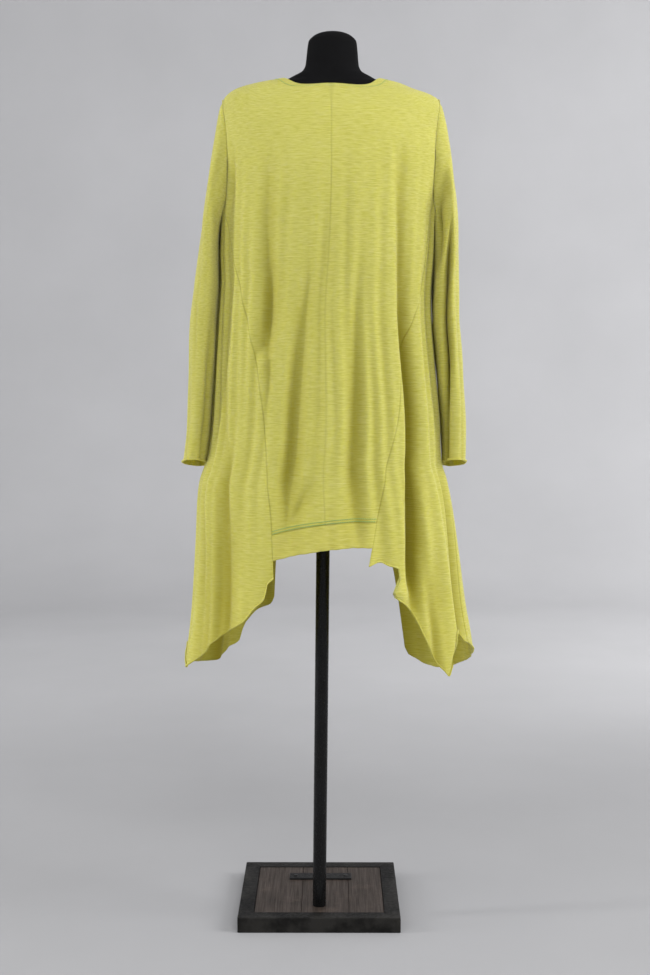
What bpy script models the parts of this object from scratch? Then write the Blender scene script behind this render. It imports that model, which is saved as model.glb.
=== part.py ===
"""A long-sleeved jersey dress with hem points, on a limbless dress form with a pole and a square base.

Metres, +Z up. The origin is the centre of the base's underside. The dress's back faces -Y.
Angles round the body are in degrees: 0 is the centre back, 90 the right side and 180 the
centre front, as seen from behind. Run it in Blender 4.5.
"""

import math

import bmesh
import bpy
import numpy as np

# Stand
BASE_SIDE = 0.300
BASE_HEIGHT = 0.0284
BAR_WIDTH = 0.029
PLANK_HEIGHT = 0.0274
PLANK_GAP = 0.0012
# Edges of the boards across the opening of the frame, left to right
PLANK_EDGES = (-0.1207, -0.0330, 0.0557, 0.1207)
BRACKET_SIZE = (0.122, 0.030, 0.003)
BRACKET_CENTRE = (0.0015, 0.065)
SCREW_RADIUS = 0.0045
SCREW_HEIGHT = 0.0016
SCREW_INSET = 0.012
POLE_RADIUS = 0.0125
POLE_LEAN = math.radians(0.6)
TOUCH = 0.0003  # gap between pieces that touch
EDGE_ROUNDING = 0.0015

# Axis of the pole, the form and the dress, in plan
AXIS_Y = -0.084
FORM_BOTTOM = 0.800

# Cloth
WALL = 0.0016
SEAM_GAP = 0.0005  # from a panel's edge to the seam line
SLEEVE_LIFT = 0.0009  # from the body's edge to the sleeve that laps it
SECTION_POWER = 0.85  # under 1, a section is fuller than an ellipse

# Heights
NECK_SIDE_Z = 1.5475
NECK_HALF_WIDTH = 0.085
NECK_BACK_Z = 1.5316
NECK_FRONT_Z = 1.478
SHOULDER_TIP_Z = 1.5087
YOKE_BACK_Z = 1.494  # centre-back height of the grid line that ends at the shoulder tip
YOKE_FRONT_Z = 1.440
UNDERARM_Z = 1.296
PRINCESS_TOP_Z = 1.335  # where the slanting seam leaves the armhole
CUFF_Z = 0.866
FRONT_HEM_Z = 0.700

ARMHOLE_HALF_ANGLE = 20.0
ARMHOLE_FULLNESS = 0.7
BACK_NECK_POWER = 4.0  # squareness of the neckline's outline in plan
FRONT_NECK_POWER = 2.3

# The dress at each height: centre in X, half-widths to the left and right of it, and depths
# behind and before the axis
BODY = (
    (1.5475, 0.0220, 0.0850, 0.0850, 0.0525, 0.0470),
    (1.5405, 0.0220, 0.1330, 0.1210, 0.0540, 0.0490),
    (1.5300, 0.0220, 0.1720, 0.1480, 0.0572, 0.0520),
    (1.5193, 0.0220, 0.1875, 0.1790, 0.0645, 0.0570),
    (1.5087, 0.0220, 0.1950, 0.1940, 0.0720, 0.0620),
    (1.4875, 0.0220, 0.1980, 0.1980, 0.0850, 0.0730),
    (1.4500, 0.0220, 0.1970, 0.1970, 0.1010, 0.0900),
    (1.4000, 0.0220, 0.1960, 0.1960, 0.1140, 0.1090),
    (1.3500, 0.0215, 0.1930, 0.1930, 0.1200, 0.1250),
    (1.2960, 0.0200, 0.1900, 0.1900, 0.1230, 0.1370),
    (1.2400, 0.0175, 0.1900, 0.1900, 0.1230, 0.1420),
    (1.1800, 0.0135, 0.1895, 0.1895, 0.1210, 0.1420),
    (1.1200, 0.0110, 0.1900, 0.1900, 0.1200, 0.1400),
    (1.0500, 0.0120, 0.1950, 0.1950, 0.1210, 0.1400),
    (0.9500, 0.0130, 0.2045, 0.2045, 0.1260, 0.1430),
    (0.8850, 0.0105, 0.2105, 0.2105, 0.1320, 0.1460),
    (0.8600, 0.0085, 0.2140, 0.2140, 0.1340, 0.1480),
    (0.8420, 0.0080, 0.2255, 0.2255, 0.1360, 0.1490),
    (0.7900, 0.0100, 0.2325, 0.2325, 0.1410, 0.1520),
    (0.7100, 0.0136, 0.2400, 0.2400, 0.1470, 0.1570),
    (0.6070, 0.0180, 0.2510, 0.2500, 0.1530, 0.1630),
    (0.5500, 0.0210, 0.2600, 0.2570, 0.1560, 0.1660),
    (0.4700, 0.0230, 0.2730, 0.2660, 0.1590, 0.1700),
)

# The form at each height, with the same columns
FORM = (
    (1.6310, 0.0240, 0.0060, 0.0060, 0.0060, 0.0060),
    (1.6300, 0.0240, 0.0155, 0.0155, 0.0155, 0.0150),
    (1.6272, 0.0240, 0.0255, 0.0255, 0.0250, 0.0240),
    (1.6222, 0.0240, 0.0350, 0.0350, 0.0345, 0.0330),
    (1.6130, 0.0240, 0.0430, 0.0430, 0.0420, 0.0400),
    (1.5930, 0.0238, 0.0455, 0.0455, 0.0445, 0.0420),
    (1.5720, 0.0234, 0.0478, 0.0478, 0.0460, 0.0425),
    (1.5615, 0.0230, 0.0530, 0.0530, 0.0475, 0.0430),
    (1.5505, 0.0224, 0.0725, 0.0725, 0.0485, 0.0425),
    (1.5444, 0.0220, 0.0850, 0.0850, 0.0494, 0.0440),
    (1.5374, 0.0220, 0.1330, 0.1210, 0.0510, 0.0460),
    (1.5269, 0.0220, 0.1700, 0.1480, 0.0545, 0.0490),
    (1.5147, 0.0220, 0.1800, 0.1750, 0.0625, 0.0540),
    (1.5000, 0.0220, 0.1820, 0.1800, 0.0720, 0.0620),
    (1.4700, 0.0220, 0.1800, 0.1790, 0.0860, 0.0750),
    (1.4300, 0.0220, 0.1740, 0.1740, 0.0990, 0.0900),
    (1.3800, 0.0218, 0.1660, 0.1660, 0.1080, 0.1060),
    (1.3300, 0.0210, 0.1590, 0.1590, 0.1110, 0.1200),
    (1.2800, 0.0190, 0.1530, 0.1530, 0.1090, 0.1280),
    (1.2200, 0.0165, 0.1440, 0.1440, 0.1010, 0.1200),
    (1.1500, 0.0135, 0.1310, 0.1310, 0.0900, 0.1030),
    (1.1000, 0.0120, 0.1250, 0.1250, 0.0850, 0.0930),
    (1.0300, 0.0110, 0.1370, 0.1370, 0.0940, 0.0960),
    (0.9600, 0.0100, 0.1590, 0.1590, 0.1060, 0.1010),
    (0.9000, 0.0090, 0.1710, 0.1710, 0.1130, 0.1040),
    (0.8400, 0.0085, 0.1720, 0.1720, 0.1130, 0.1030),
    (0.8120, 0.0083, 0.1690, 0.1690, 0.1100, 0.1010),
    (0.8030, 0.0082, 0.1640, 0.1640, 0.1060, 0.0970),
    (FORM_BOTTOM, 0.0082, 0.1560, 0.1560, 0.0990, 0.0910),
)

# The sleeve at each height: distances of its near and far sides from the dress's centre, half-depth
SLEEVE = (
    (1.5120, 0.1900, 0.1970, 0.030),
    (1.4870, 0.1900, 0.2040, 0.045),
    (1.4440, 0.1905, 0.2110, 0.058),
    (1.3790, 0.1920, 0.2190, 0.070),
    (1.2940, 0.1955, 0.2290, 0.078),
    (1.2090, 0.1965, 0.2360, 0.078),
    (1.1230, 0.1955, 0.2433, 0.074),
    (1.0360, 0.2000, 0.2490, 0.068),
    (0.9490, 0.2095, 0.2530, 0.060),
    (0.9060, 0.2135, 0.2555, 0.055),
    (0.8660, 0.2155, 0.2580, 0.052),
)
SLEEVE_BLEND = 0.11  # length over which the sleeve leaves the armhole's outline
SLEEVE_FOLD = 0.013  # depth of the long fold down the sleeve's back edge
SLEEVE_FOLD_ANGLE = 20.0

# Angle of the slanting seam at each height
PRINCESS = {
    -1: ((1.335, 73.0), (1.27, 64.5), (1.18, 53.0), (1.11, 44.5), (1.05, 38.5), (0.98, 33.8),
         (0.90, 29.8), (0.83, 25.6), (0.76, 24.2), (0.64, 24.7)),
    1: ((1.335, 73.0), (1.30, 68.0), (1.18, 63.0), (1.12, 54.5), (1.07, 46.8), (1.02, 41.8),
        (0.95, 38.0), (0.90, 34.0), (0.83, 28.2), (0.76, 22.4), (0.72, 19.6), (0.69, 17.6)),
}
# Angle of the side seam at the underarm and at the hem
SIDE_SEAM = {-1: (90.0, 88.0), 1: (90.0, 75.0)}

# Height of the hem at each angle, from the slanting seam round to the centre front
HEM = {
    -1: ((24.7, 0.670), (30.0, 0.632), (37.0, 0.602), (46.0, 0.568), (57.0, 0.536),
         (68.0, 0.506), (81.0, 0.485), (88.0, 0.530), (97.0, 0.490), (105.0, 0.480),
         (114.0, 0.482), (126.0, 0.490), (136.0, 0.505), (143.0, 0.570), (154.0, 0.660),
         (166.0, 0.695), (180.0, FRONT_HEM_Z)),
    1: ((17.6, 0.690), (25.0, 0.694), (32.0, 0.668), (39.0, 0.628), (45.0, 0.576),
        (51.5, 0.520), (57.5, 0.478), (63.5, 0.512), (69.0, 0.540), (75.0, 0.553),
        (84.0, 0.520), (94.0, 0.500), (106.0, 0.485), (118.0, 0.472), (132.0, 0.474),
        (143.0, 0.492), (148.0, 0.600), (152.0, 0.670), (160.0, 0.690),
        (180.0, FRONT_HEM_Z)),
}

# Hem band of the centre back: heights at its left corner, centre and right corner
BAND_TOP = (0.7420, 0.7610, 0.7640)
BAND_BOTTOM = (0.6990, 0.7180, 0.7220)

# Folds: angle at the top, angle at the hem, height of the top, depth at the hem, half-width
FOLDS = (
    (-35.0, -34.0, 1.42, 0.008, 7.0),
    (-8.0, -20.0, 1.20, 0.008, 5.0),
    (18.0, 14.0, 1.22, 0.007, 5.0),
    (39.0, 44.0, 1.42, 0.018, 6.5),
    (-60.0, -62.0, 1.12, 0.012, 8.0),
    (62.0, 66.0, 1.02, 0.010, 5.0),
    (114.0, 116.0, 1.20, 0.016, 9.0),
    (142.0, 144.0, 1.22, 0.012, 8.0),
    (178.0, 176.0, 1.24, 0.014, 9.0),
    (212.0, 210.0, 1.22, 0.012, 8.0),
    (242.0, 240.0, 1.18, 0.016, 9.0),
)
FOLD_BOTTOM_Z = 0.50

# Grid counts
SHOULDER_ROWS = 4
BACK_RING_ROWS = 6
SIDE_RING_COLUMNS = 5
FRONT_RING_ROWS = 9
SEAM_ROWS = 16
BACK_COLUMNS = 10
FRONT_COLUMNS = 26
EDGE_CROWDING = 1.25  # over 1, grid lines lie closer together at the sides
BAND_ROWS = 2
SLEEVE_ROWS = 15
FORM_COLUMNS = 24

# Colours
LIME = (0.520, 0.500, 0.105)
BLACK_CLOTH = (0.010, 0.010, 0.011)
BLACK_STEEL = (0.016, 0.016, 0.018)
IRON = (0.030, 0.028, 0.028)
DARK_WOOD = (0.075, 0.055, 0.042)


def smooth(table, column, at):
    """The column's value at a place along a table's first column, by a curve that never overshoots."""
    rows = sorted(table)
    x = np.array([row[0] for row in rows])
    y = np.array([row[column] for row in rows])
    slope = np.diff(y) / np.diff(x)
    tangent = np.zeros(len(x))
    tangent[0], tangent[-1] = slope[0], slope[-1]
    same = slope[:-1] * slope[1:] > 0
    pair = slope[:-1] + slope[1:]
    tangent[1:-1][same] = 2.0 * (slope[:-1] * slope[1:])[same] / pair[same]
    at = np.clip(at, x[0], x[-1])
    i = np.clip(np.searchsorted(x, at) - 1, 0, len(x) - 2)
    width = x[i + 1] - x[i]
    t = (at - x[i]) / width
    return (
        (2 * t**3 - 3 * t**2 + 1) * y[i]
        + (t**3 - 2 * t**2 + t) * width * tangent[i]
        + (3 * t**2 - 2 * t**3) * y[i + 1]
        + (t**3 - t**2) * width * tangent[i + 1]
    )


def ease(t):
    """0 to 1 with level ends."""
    t = min(max(t, 0.0), 1.0)
    return t * t * (3.0 - 2.0 * t)


def mix(first, last, t):
    return first + (last - first) * t


def section_point(table, angle, z):
    """A point on a stack of level sections, at an angle and a height."""
    sine, cosine = math.sin(math.radians(angle)), math.cos(math.radians(angle))
    depth = smooth(table, 4 if cosine > 0 else 5, z)
    x = smooth(table, 1, z) + smooth(table, 2 if sine < 0 else 3, z) * sine
    y = AXIS_Y - math.copysign(depth * abs(cosine) ** SECTION_POWER, cosine)
    return np.array((x, y, z))


def fold_depth(angle, z):
    """How far the folds draw the cloth in."""
    total = 0.0
    for top_angle, low_angle, top_z, depth, half_width in FOLDS:
        down = (top_z - z) / (top_z - FOLD_BOTTOM_Z)
        centre = mix(top_angle, low_angle, min(max(down, 0.0), 1.0))
        away = (angle - centre + 180.0) % 360.0 - 180.0
        total += depth * ease(down) * math.exp(-((away / half_width) ** 2))
    return total


def half_width(side, z):
    return smooth(BODY, 2 if side < 0 else 3, z)


def body_point(angle, z):
    """A point on the outside of the dress's body."""
    point = section_point(BODY, angle, z)
    centre = np.array((smooth(BODY, 1, z), AXIS_Y, z))
    outward = point - centre
    return point - outward * fold_depth(angle, z) / np.linalg.norm(outward)


def body_normal(angle, z):
    """The outward direction of the dress's body."""
    round_the_body = body_point(angle + 0.5, z) - body_point(angle - 0.5, z)
    upward = body_point(angle, z + 0.001) - body_point(angle, z - 0.001)
    normal = np.cross(round_the_body, upward)
    return normal / np.linalg.norm(normal)


def height_over(side, x, depth, front):
    """Height of the shoulders over a place in plan, given from the centre line and the axis."""
    low, high = UNDERARM_Z, NECK_SIDE_Z
    for _ in range(40):
        z = (low + high) / 2
        across = (x / half_width(side, z)) ** 2
        along = (depth / smooth(BODY, 5 if front else 4, z)) ** (2 / SECTION_POWER)
        if across + along < 1.0:
            low = z
        else:
            high = z
    return (low + high) / 2


def shoulder_row(side, t, share, front):
    """A point of a grid line over the shoulder: t from neckline to tip, share from centre to edge."""
    reach = mix(NECK_HALF_WIDTH, half_width(side, SHOULDER_TIP_Z), t)
    first_z = NECK_FRONT_Z if front else NECK_BACK_Z
    last_z = YOKE_FRONT_Z if front else YOKE_BACK_Z
    depth = smooth(BODY, 5 if front else 4, mix(first_z, last_z, t))
    squareness = mix(FRONT_NECK_POWER if front else BACK_NECK_POWER, 2 / SECTION_POWER, t)
    turn = math.radians(90.0 * share)
    x = reach * math.sin(turn) ** (2 / squareness)
    away = depth * math.cos(turn) ** (2 / squareness)
    z = height_over(side, x, away, front)
    ratio = min(x / half_width(side, z), 1.0)
    angle = math.degrees(math.asin(ratio))
    return (180.0 - angle if front else angle), z


def armhole(turn):
    """Height and half-opening of the armhole: turn is 0 at the shoulder tip and 180 at the underarm."""
    middle = (SHOULDER_TIP_Z + UNDERARM_Z) / 2
    half_height = (SHOULDER_TIP_Z - UNDERARM_Z) / 2
    z = middle + half_height * math.cos(math.radians(turn))
    opening = ARMHOLE_HALF_ANGLE * math.sin(math.radians(turn)) ** ARMHOLE_FULLNESS
    return z, opening


def ring_turns(first, last, count):
    return [mix(first, last, i / count) for i in range(count + 1)]


def princess_turn():
    """Where the slanting seam leaves the armhole, as a turn."""
    middle = (SHOULDER_TIP_Z + UNDERARM_Z) / 2
    half_height = (SHOULDER_TIP_Z - UNDERARM_Z) / 2
    return math.degrees(math.acos((PRINCESS_TOP_Z - middle) / half_height))


BACK_RING = ring_turns(0.0, princess_turn(), BACK_RING_ROWS)
SIDE_RING = ring_turns(princess_turn(), 180.0, SIDE_RING_COLUMNS)
FRONT_RING = ring_turns(0.0, 180.0, FRONT_RING_ROWS)


def princess_angle(side, z):
    top = 90.0 - armhole(princess_turn())[1]
    near_top = ease((z - PRINCESS_TOP_Z + 0.05) / 0.05)
    return mix(smooth(PRINCESS[side], 1, z), top, near_top)


def side_seam_angle(side, share):
    first, last = SIDE_SEAM[side]
    return mix(first, last, share)


def hem_z(side, angle):
    return smooth(HEM[side], 1, angle)


def seam_levels(side):
    """Heights of the grid lines down the slanting seam, with some on the band's edges."""
    corner = 0 if side < 0 else 2
    hem = hem_z(side, PRINCESS[side][-1][1])
    above = [mix(PRINCESS_TOP_Z, BAND_TOP[corner], i / SEAM_ROWS) for i in range(SEAM_ROWS + 1)]
    band = [
        mix(BAND_TOP[corner], BAND_BOTTOM[corner], (i + 1) / BAND_ROWS)
        for i in range(BAND_ROWS)
    ]
    return above, band, above + band + [hem]


def band_height(heights, share):
    """Height across the band, from -1 at its left corner to 1 at its right."""
    left, middle, right = heights
    return middle + (right - left) / 2 * share + ((left + right) / 2 - middle) * share**2


def back_grid(side):
    """Angles and heights of the centre-back panel on one side, from the centre out."""
    shares = [1.0 - (1.0 - i / BACK_COLUMNS) ** EDGE_CROWDING for i in range(BACK_COLUMNS + 1)]
    rows = [
        [shoulder_row(side, t / SHOULDER_ROWS, share, False) for share in shares]
        for t in range(SHOULDER_ROWS + 1)
    ]
    for i, turn in enumerate(BACK_RING[1:]):
        edge_z, opening = armhole(turn)
        centre_z = mix(YOKE_BACK_Z, PRINCESS_TOP_Z, (i + 1) / BACK_RING_ROWS)
        power = mix(3.0, 1.0, (i + 1) / BACK_RING_ROWS)
        rows.append(
            [
                ((90.0 - opening) * share, mix(centre_z, edge_z, share**power))
                for share in shares
            ]
        )
    above, _, _ = seam_levels(side)
    for z in above[1:]:
        down = ease((PRINCESS_TOP_Z - z) / (PRINCESS_TOP_Z - above[-1]))
        drop = band_height(BAND_TOP, 0.0) - above[-1]
        edge = princess_angle(side, z)
        rows.append([(edge * share, z + drop * down * (1 - share) ** 2) for share in shares])
    # The last line follows the top of the band.
    edge = princess_angle(side, above[-1])
    rows[-1] = [(edge * share, band_height(BAND_TOP, side * share)) for share in shares]
    return rows


def band_grid():
    """Angles and heights of the hem band, left to right."""
    half = [1.0 - (1.0 - i / BACK_COLUMNS) ** EDGE_CROWDING for i in range(BACK_COLUMNS + 1)]
    shares = [-share for share in half[:0:-1]] + half
    rows = []
    for j in range(BAND_ROWS + 1):
        row = []
        for share in shares:
            z = mix(band_height(BAND_TOP, share), band_height(BAND_BOTTOM, share), j / BAND_ROWS)
            side = -1 if share < 0 else 1
            row.append((princess_angle(side, z) * share, z))
        rows.append(row)
    return rows


def side_back_grid(side):
    """Angles and heights of a side-back panel, from the slanting seam to the side seam."""
    _, _, levels = seam_levels(side)
    rows = []
    for level in levels:
        down = (levels[0] - level) / (levels[0] - levels[-1])
        row = []
        for i, turn in enumerate(SIDE_RING):
            share = i / SIDE_RING_COLUMNS
            top_z, opening = armhole(turn)
            hem_angle = mix(PRINCESS[side][-1][1], side_seam_angle(side, 1.0), share)
            z = mix(top_z, hem_z(side, hem_angle), down)
            inner = princess_angle(side, z if i else level)
            angle = mix(inner, side_seam_angle(side, down), share)
            straight = mix(princess_angle(side, levels[0]), side_seam_angle(side, 0.0), share)
            bow = 90.0 - opening - straight
            row.append((angle + bow * (1.0 - ease(down * 6.0)), z))
        rows.append(row)
    return refined(rows)


def refined(rows):
    """The rows with a point added midway between each two."""
    finer = []
    for row in rows:
        line = [row[0]]
        for first, last in zip(row, row[1:]):
            line.append(((first[0] + last[0]) / 2, (first[1] + last[1]) / 2))
            line.append(last)
        finer.append(line)
    return finer


def front_grid():
    """Angles and heights of the front, from the right side seam round to the left one."""
    half = FRONT_COLUMNS // 2
    shares = [1.0 - (i / half) ** EDGE_CROWDING for i in range(half + 1)]
    rows = []
    for j in range(SHOULDER_ROWS + 1):
        t = j / SHOULDER_ROWS
        right = [shoulder_row(1, t, share, True) for share in shares]
        left = [shoulder_row(-1, t, share, True) for share in shares[-2::-1]]
        rows.append(right + [(360.0 - angle, z) for angle, z in left])
    for j, turn in enumerate(FRONT_RING[1:]):
        edge_z, opening = armhole(turn)
        down = (j + 1) / FRONT_RING_ROWS
        centre_z = mix(YOKE_FRONT_Z, UNDERARM_Z, down)
        power = mix(3.0, 1.0, down)
        row = [
            (180.0 - (90.0 - opening) * share, mix(centre_z, edge_z, share**power))
            for share in shares
        ]
        rows.append(row + [(360.0 - angle, z) for angle, z in row[-2::-1]])
    for level_right, level_left in zip(*(side_levels(side) for side in (1, -1))):
        row = []
        for i in range(FRONT_COLUMNS + 1):
            side, down = (1, level_right) if i <= half else (-1, level_left)
            share = shares[min(i, FRONT_COLUMNS - i)]
            angle = mix(180.0, side_seam_angle(side, down), share)
            hem_angle = mix(180.0, side_seam_angle(side, 1.0), share)
            z = mix(UNDERARM_Z, hem_z(side, hem_angle), down)
            row.append((angle if side > 0 else 360.0 - angle, z))
        rows.append(row)
    return rows


def side_levels(side):
    """Shares of the way down the side seam at which grid lines meet it."""
    _, _, levels = seam_levels(side)
    return [(levels[0] - level) / (levels[0] - levels[-1]) for level in levels[1:]]


def surface_of(grid):
    return [[body_point(angle, z) for angle, z in row] for row in grid]


def trimmed(rows, first_column=True, last_column=True, last_row=False, first_row=False):
    """The rows with the edges that meet another panel drawn back from the seam line."""
    rows = [list(row) for row in rows]

    def draw_back(edge, inner):
        step = inner - edge
        return edge + step * SEAM_GAP / np.linalg.norm(step)

    for row in rows:
        if first_column:
            row[0] = draw_back(row[0], row[1])
        if last_column:
            row[-1] = draw_back(row[-1], row[-2])
    if last_row:
        rows[-1] = [draw_back(edge, inner) for edge, inner in zip(rows[-1], rows[-2])]
    if first_row:
        rows[0] = [draw_back(edge, inner) for edge, inner in zip(rows[0], rows[1])]
    return rows


def sleeve_section(side, turn, z):
    """A point on the hanging sleeve: turn is 0 on its far side and 90 at the back."""
    near, far, depth = (smooth(SLEEVE, column, z) for column in (1, 2, 3))
    across, along = math.cos(math.radians(turn)), math.sin(math.radians(turn))
    reach = (near + far) / 2 + (far - near) / 2 * math.copysign(abs(across) ** 0.8, across)
    away = (turn - 90.0 + 180.0) % 360.0 - 180.0
    fold = SLEEVE_FOLD * math.exp(-((away / SLEEVE_FOLD_ANGLE) ** 2))
    fold *= ease((1.36 - z) / 0.10) * mix(1.0, 0.5, ease((1.10 - z) / 0.15))
    x = smooth(BODY, 1, z) + side * reach
    return np.array((x, AXIS_Y - depth * along + fold, z))


def sleeve_ring(side):
    """The turns and the starting points of the sleeve's lines, counter-clockwise from above."""
    back = [(turn, turn) for turn in BACK_RING + SIDE_RING[1:-1]]
    front = [(360.0 - turn, turn) for turn in reversed(FRONT_RING[1:])]
    lines = []
    for around, turn in back + front:
        z, opening = armhole(turn)
        angle = 90.0 - opening if around < 180.0 else 90.0 + opening
        lift = SLEEVE_LIFT + WALL * (0.5 + 0.5 * math.cos(math.radians(turn)))
        start = body_point(side * angle, z) + body_normal(side * angle, z) * lift
        lines.append((around, start))
    return lines if side < 0 else lines[::-1]


def sleeve_rows(side):
    rows = []
    ring = sleeve_ring(side)
    for j in range(SLEEVE_ROWS + 1):
        down = (j / SLEEVE_ROWS) ** 1.2
        row = []
        for turn, start in ring:
            z = mix(start[2], CUFF_Z, down)
            shift = start - sleeve_section(side, turn, start[2])
            keep = 1.0 - ease((start[2] - z) / SLEEVE_BLEND)
            row.append(sleeve_section(side, turn, z) + shift * keep)
        rows.append(row)
    return rows


def material(name, colour, roughness, metallic=0.0):
    made = bpy.data.materials.new(name)
    made.use_nodes = True
    shader = made.node_tree.nodes["Principled BSDF"]
    shader.inputs["Base Color"].default_value = (*colour, 1.0)
    shader.inputs["Roughness"].default_value = roughness
    shader.inputs["Metallic"].default_value = metallic
    return made


def loft(name, rows, closed=False):
    """An open surface through rows of points, top row first and turning counter-clockwise."""
    across = len(rows[0])
    count = across if closed else across - 1
    faces = []
    for j in range(len(rows) - 1):
        for i in range(count):
            near, far = j * across + i, j * across + (i + 1) % across
            faces.append((near, near + across, far + across, far))
    mesh = bpy.data.meshes.new(name)
    mesh.from_pydata([tuple(point) for row in rows for point in row], [], faces)
    return mesh


def place(name, mesh, collection, look):
    made = bpy.data.objects.new(name, mesh)
    collection.objects.link(made)
    mesh.materials.append(look)
    mesh.shade_smooth()
    return made


def cloth(name, rows, collection, look, closed=False):
    """A wall of cloth inside its outer surface."""
    made = place(name, loft(name, rows, closed), collection, look)
    solidify = made.modifiers.new("Thickness", "SOLIDIFY")
    solidify.thickness = WALL
    solidify.offset = -1.0
    return made


def form_torso(collection, look):
    rows = []
    heights = [row[0] for row in FORM]
    for z in heights:
        row = []
        for i in range(FORM_COLUMNS):
            angle = 360.0 * i / FORM_COLUMNS
            row.append(section_point(FORM, angle, z))
        rows.append(row)
    mesh = loft("form_torso", rows, closed=True)
    cage = bmesh.new()
    cage.from_mesh(mesh)
    bmesh.ops.holes_fill(cage, edges=cage.edges, sides=FORM_COLUMNS)
    bmesh.ops.recalc_face_normals(cage, faces=cage.faces)
    cage.to_mesh(mesh)
    cage.free()
    return place("form_torso", mesh, collection, look)


def adopt(made, name, collection, look):
    """Names an object that a primitive made, and moves it to its collection."""
    made.name = name
    made.data.name = name
    for old in made.users_collection:
        old.objects.unlink(made)
    collection.objects.link(made)
    made.data.materials.append(look)
    return made


def box(name, size, centre, collection, look):
    bpy.ops.mesh.primitive_cube_add(size=1.0, location=centre)
    made = adopt(bpy.context.object, name, collection, look)
    for vertex in made.data.vertices:
        vertex.co = [part * side for part, side in zip(vertex.co, size)]
    return made


def bevel(made, width, segments=2):
    rounding = made.modifiers.new("Rounded edges", "BEVEL")
    rounding.width = width
    rounding.segments = segments
    rounding.limit_method = "ANGLE"
    return rounding


def base_frame(collection, cutters, look):
    size = (BASE_SIDE, BASE_SIDE, BASE_HEIGHT)
    made = box("base_frame", size, (0.0, 0.0, BASE_HEIGHT / 2), collection, look)
    hole = (BASE_SIDE - 2 * BAR_WIDTH, BASE_SIDE - 2 * BAR_WIDTH, 2 * BASE_HEIGHT)
    cutter = box("base_opening", hole, (0.0, 0.0, BASE_HEIGHT / 2), cutters, look)
    cutter.hide_render = True
    cutter.display_type = "WIRE"
    cut = made.modifiers.new("Opening", "BOOLEAN")
    cut.operation = "DIFFERENCE"
    cut.object = cutter
    bevel(made, EDGE_ROUNDING)
    return made


def planks(collection, look):
    depth = BASE_SIDE - 2 * BAR_WIDTH - 2 * TOUCH
    names = ("plank_left", "plank_middle", "plank_right")
    for name, left, right in zip(names, PLANK_EDGES, PLANK_EDGES[1:]):
        width = right - left - PLANK_GAP * 0.5
        centre = ((left + right) / 2, 0.0, PLANK_HEIGHT / 2)
        bevel(box(name, (width, depth, PLANK_HEIGHT), centre, collection, look), 0.0008, 1)


def bracket_and_screws(collection, iron, steel):
    width, _, height = BRACKET_SIZE
    x, y = BRACKET_CENTRE
    bottom = PLANK_HEIGHT + TOUCH
    plate = box("bracket", BRACKET_SIZE, (x, y, bottom + height / 2), collection, iron)
    bevel(plate, 0.0006)
    top = bottom + height + TOUCH
    for name, side in (("screw_left", -1), ("screw_right", 1)):
        bpy.ops.mesh.primitive_cone_add(
            vertices=24,
            radius1=SCREW_RADIUS,
            radius2=SCREW_RADIUS * 0.7,
            depth=SCREW_HEIGHT,
            location=(x + side * (width / 2 - SCREW_INSET), y, top + SCREW_HEIGHT / 2),
        )
        adopt(bpy.context.object, name, collection, steel)


def pole(collection, look):
    bottom = PLANK_HEIGHT + 2 * TOUCH
    top = FORM_BOTTOM - 2 * TOUCH
    length = top - bottom
    centre = (length / 2 * math.tan(POLE_LEAN), AXIS_Y, (top + bottom) / 2)
    bpy.ops.mesh.primitive_cylinder_add(
        vertices=32,
        radius=POLE_RADIUS,
        depth=length,
        location=centre,
        rotation=(0.0, POLE_LEAN, 0.0),
    )
    made = adopt(bpy.context.object, "pole", collection, look)
    made.data.shade_smooth()
    made.data.set_sharp_from_angle(angle=math.radians(40))
    return made


def new_collection(name):
    made = bpy.data.collections.new(name)
    bpy.context.scene.collection.children.link(made)
    return made


def main():
    for old in list(bpy.data.objects):
        bpy.data.objects.remove(old, do_unlink=True)
    part = new_collection("jersey_dress_on_form")
    cutters = new_collection("cutters")
    jersey = material("lime_jersey", LIME, 0.92)
    cover = material("black_cover", BLACK_CLOTH, 0.9)
    steel = material("black_steel", BLACK_STEEL, 0.45, 0.8)
    iron = material("blackened_iron", IRON, 0.6, 0.8)
    wood = material("dark_wood", DARK_WOOD, 0.7)

    for side, name in ((-1, "left"), (1, "right")):
        back = [[(side * angle, z) for angle, z in row] for row in back_grid(side)]
        side_back = [[(side * angle, z) for angle, z in row] for row in side_back_grid(side)]
        if side < 0:
            back = [row[::-1] for row in back]
            side_back = [row[::-1] for row in side_back]
        cloth(f"back_{name}", trimmed(surface_of(back), last_row=True), part, jersey)
        cloth(f"side_back_{name}", trimmed(surface_of(side_back)), part, jersey)
        cloth(f"sleeve_{name}", sleeve_rows(side), part, jersey, closed=True)
    band = trimmed(surface_of(band_grid()), first_row=True)
    cloth("back_band", band, part, jersey)
    cloth("front", trimmed(surface_of(front_grid())), part, jersey)

    form_torso(part, cover)
    pole(part, steel)
    base_frame(part, cutters, iron)
    planks(part, wood)
    bracket_and_screws(part, iron, steel)


main()
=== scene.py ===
"""The looks of a long-sleeved slub-jersey dress with hem points, on a limbless dress form.

Metres, +Z up, in the part's own frame: the origin is the centre of the base's underside, and
the dress's back faces -Y. Angles round the body are in degrees: 0 is the centre back, 90 the
right side and 180 the centre front, as seen from behind. Run it in Blender 4.5.
"""

import math

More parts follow.
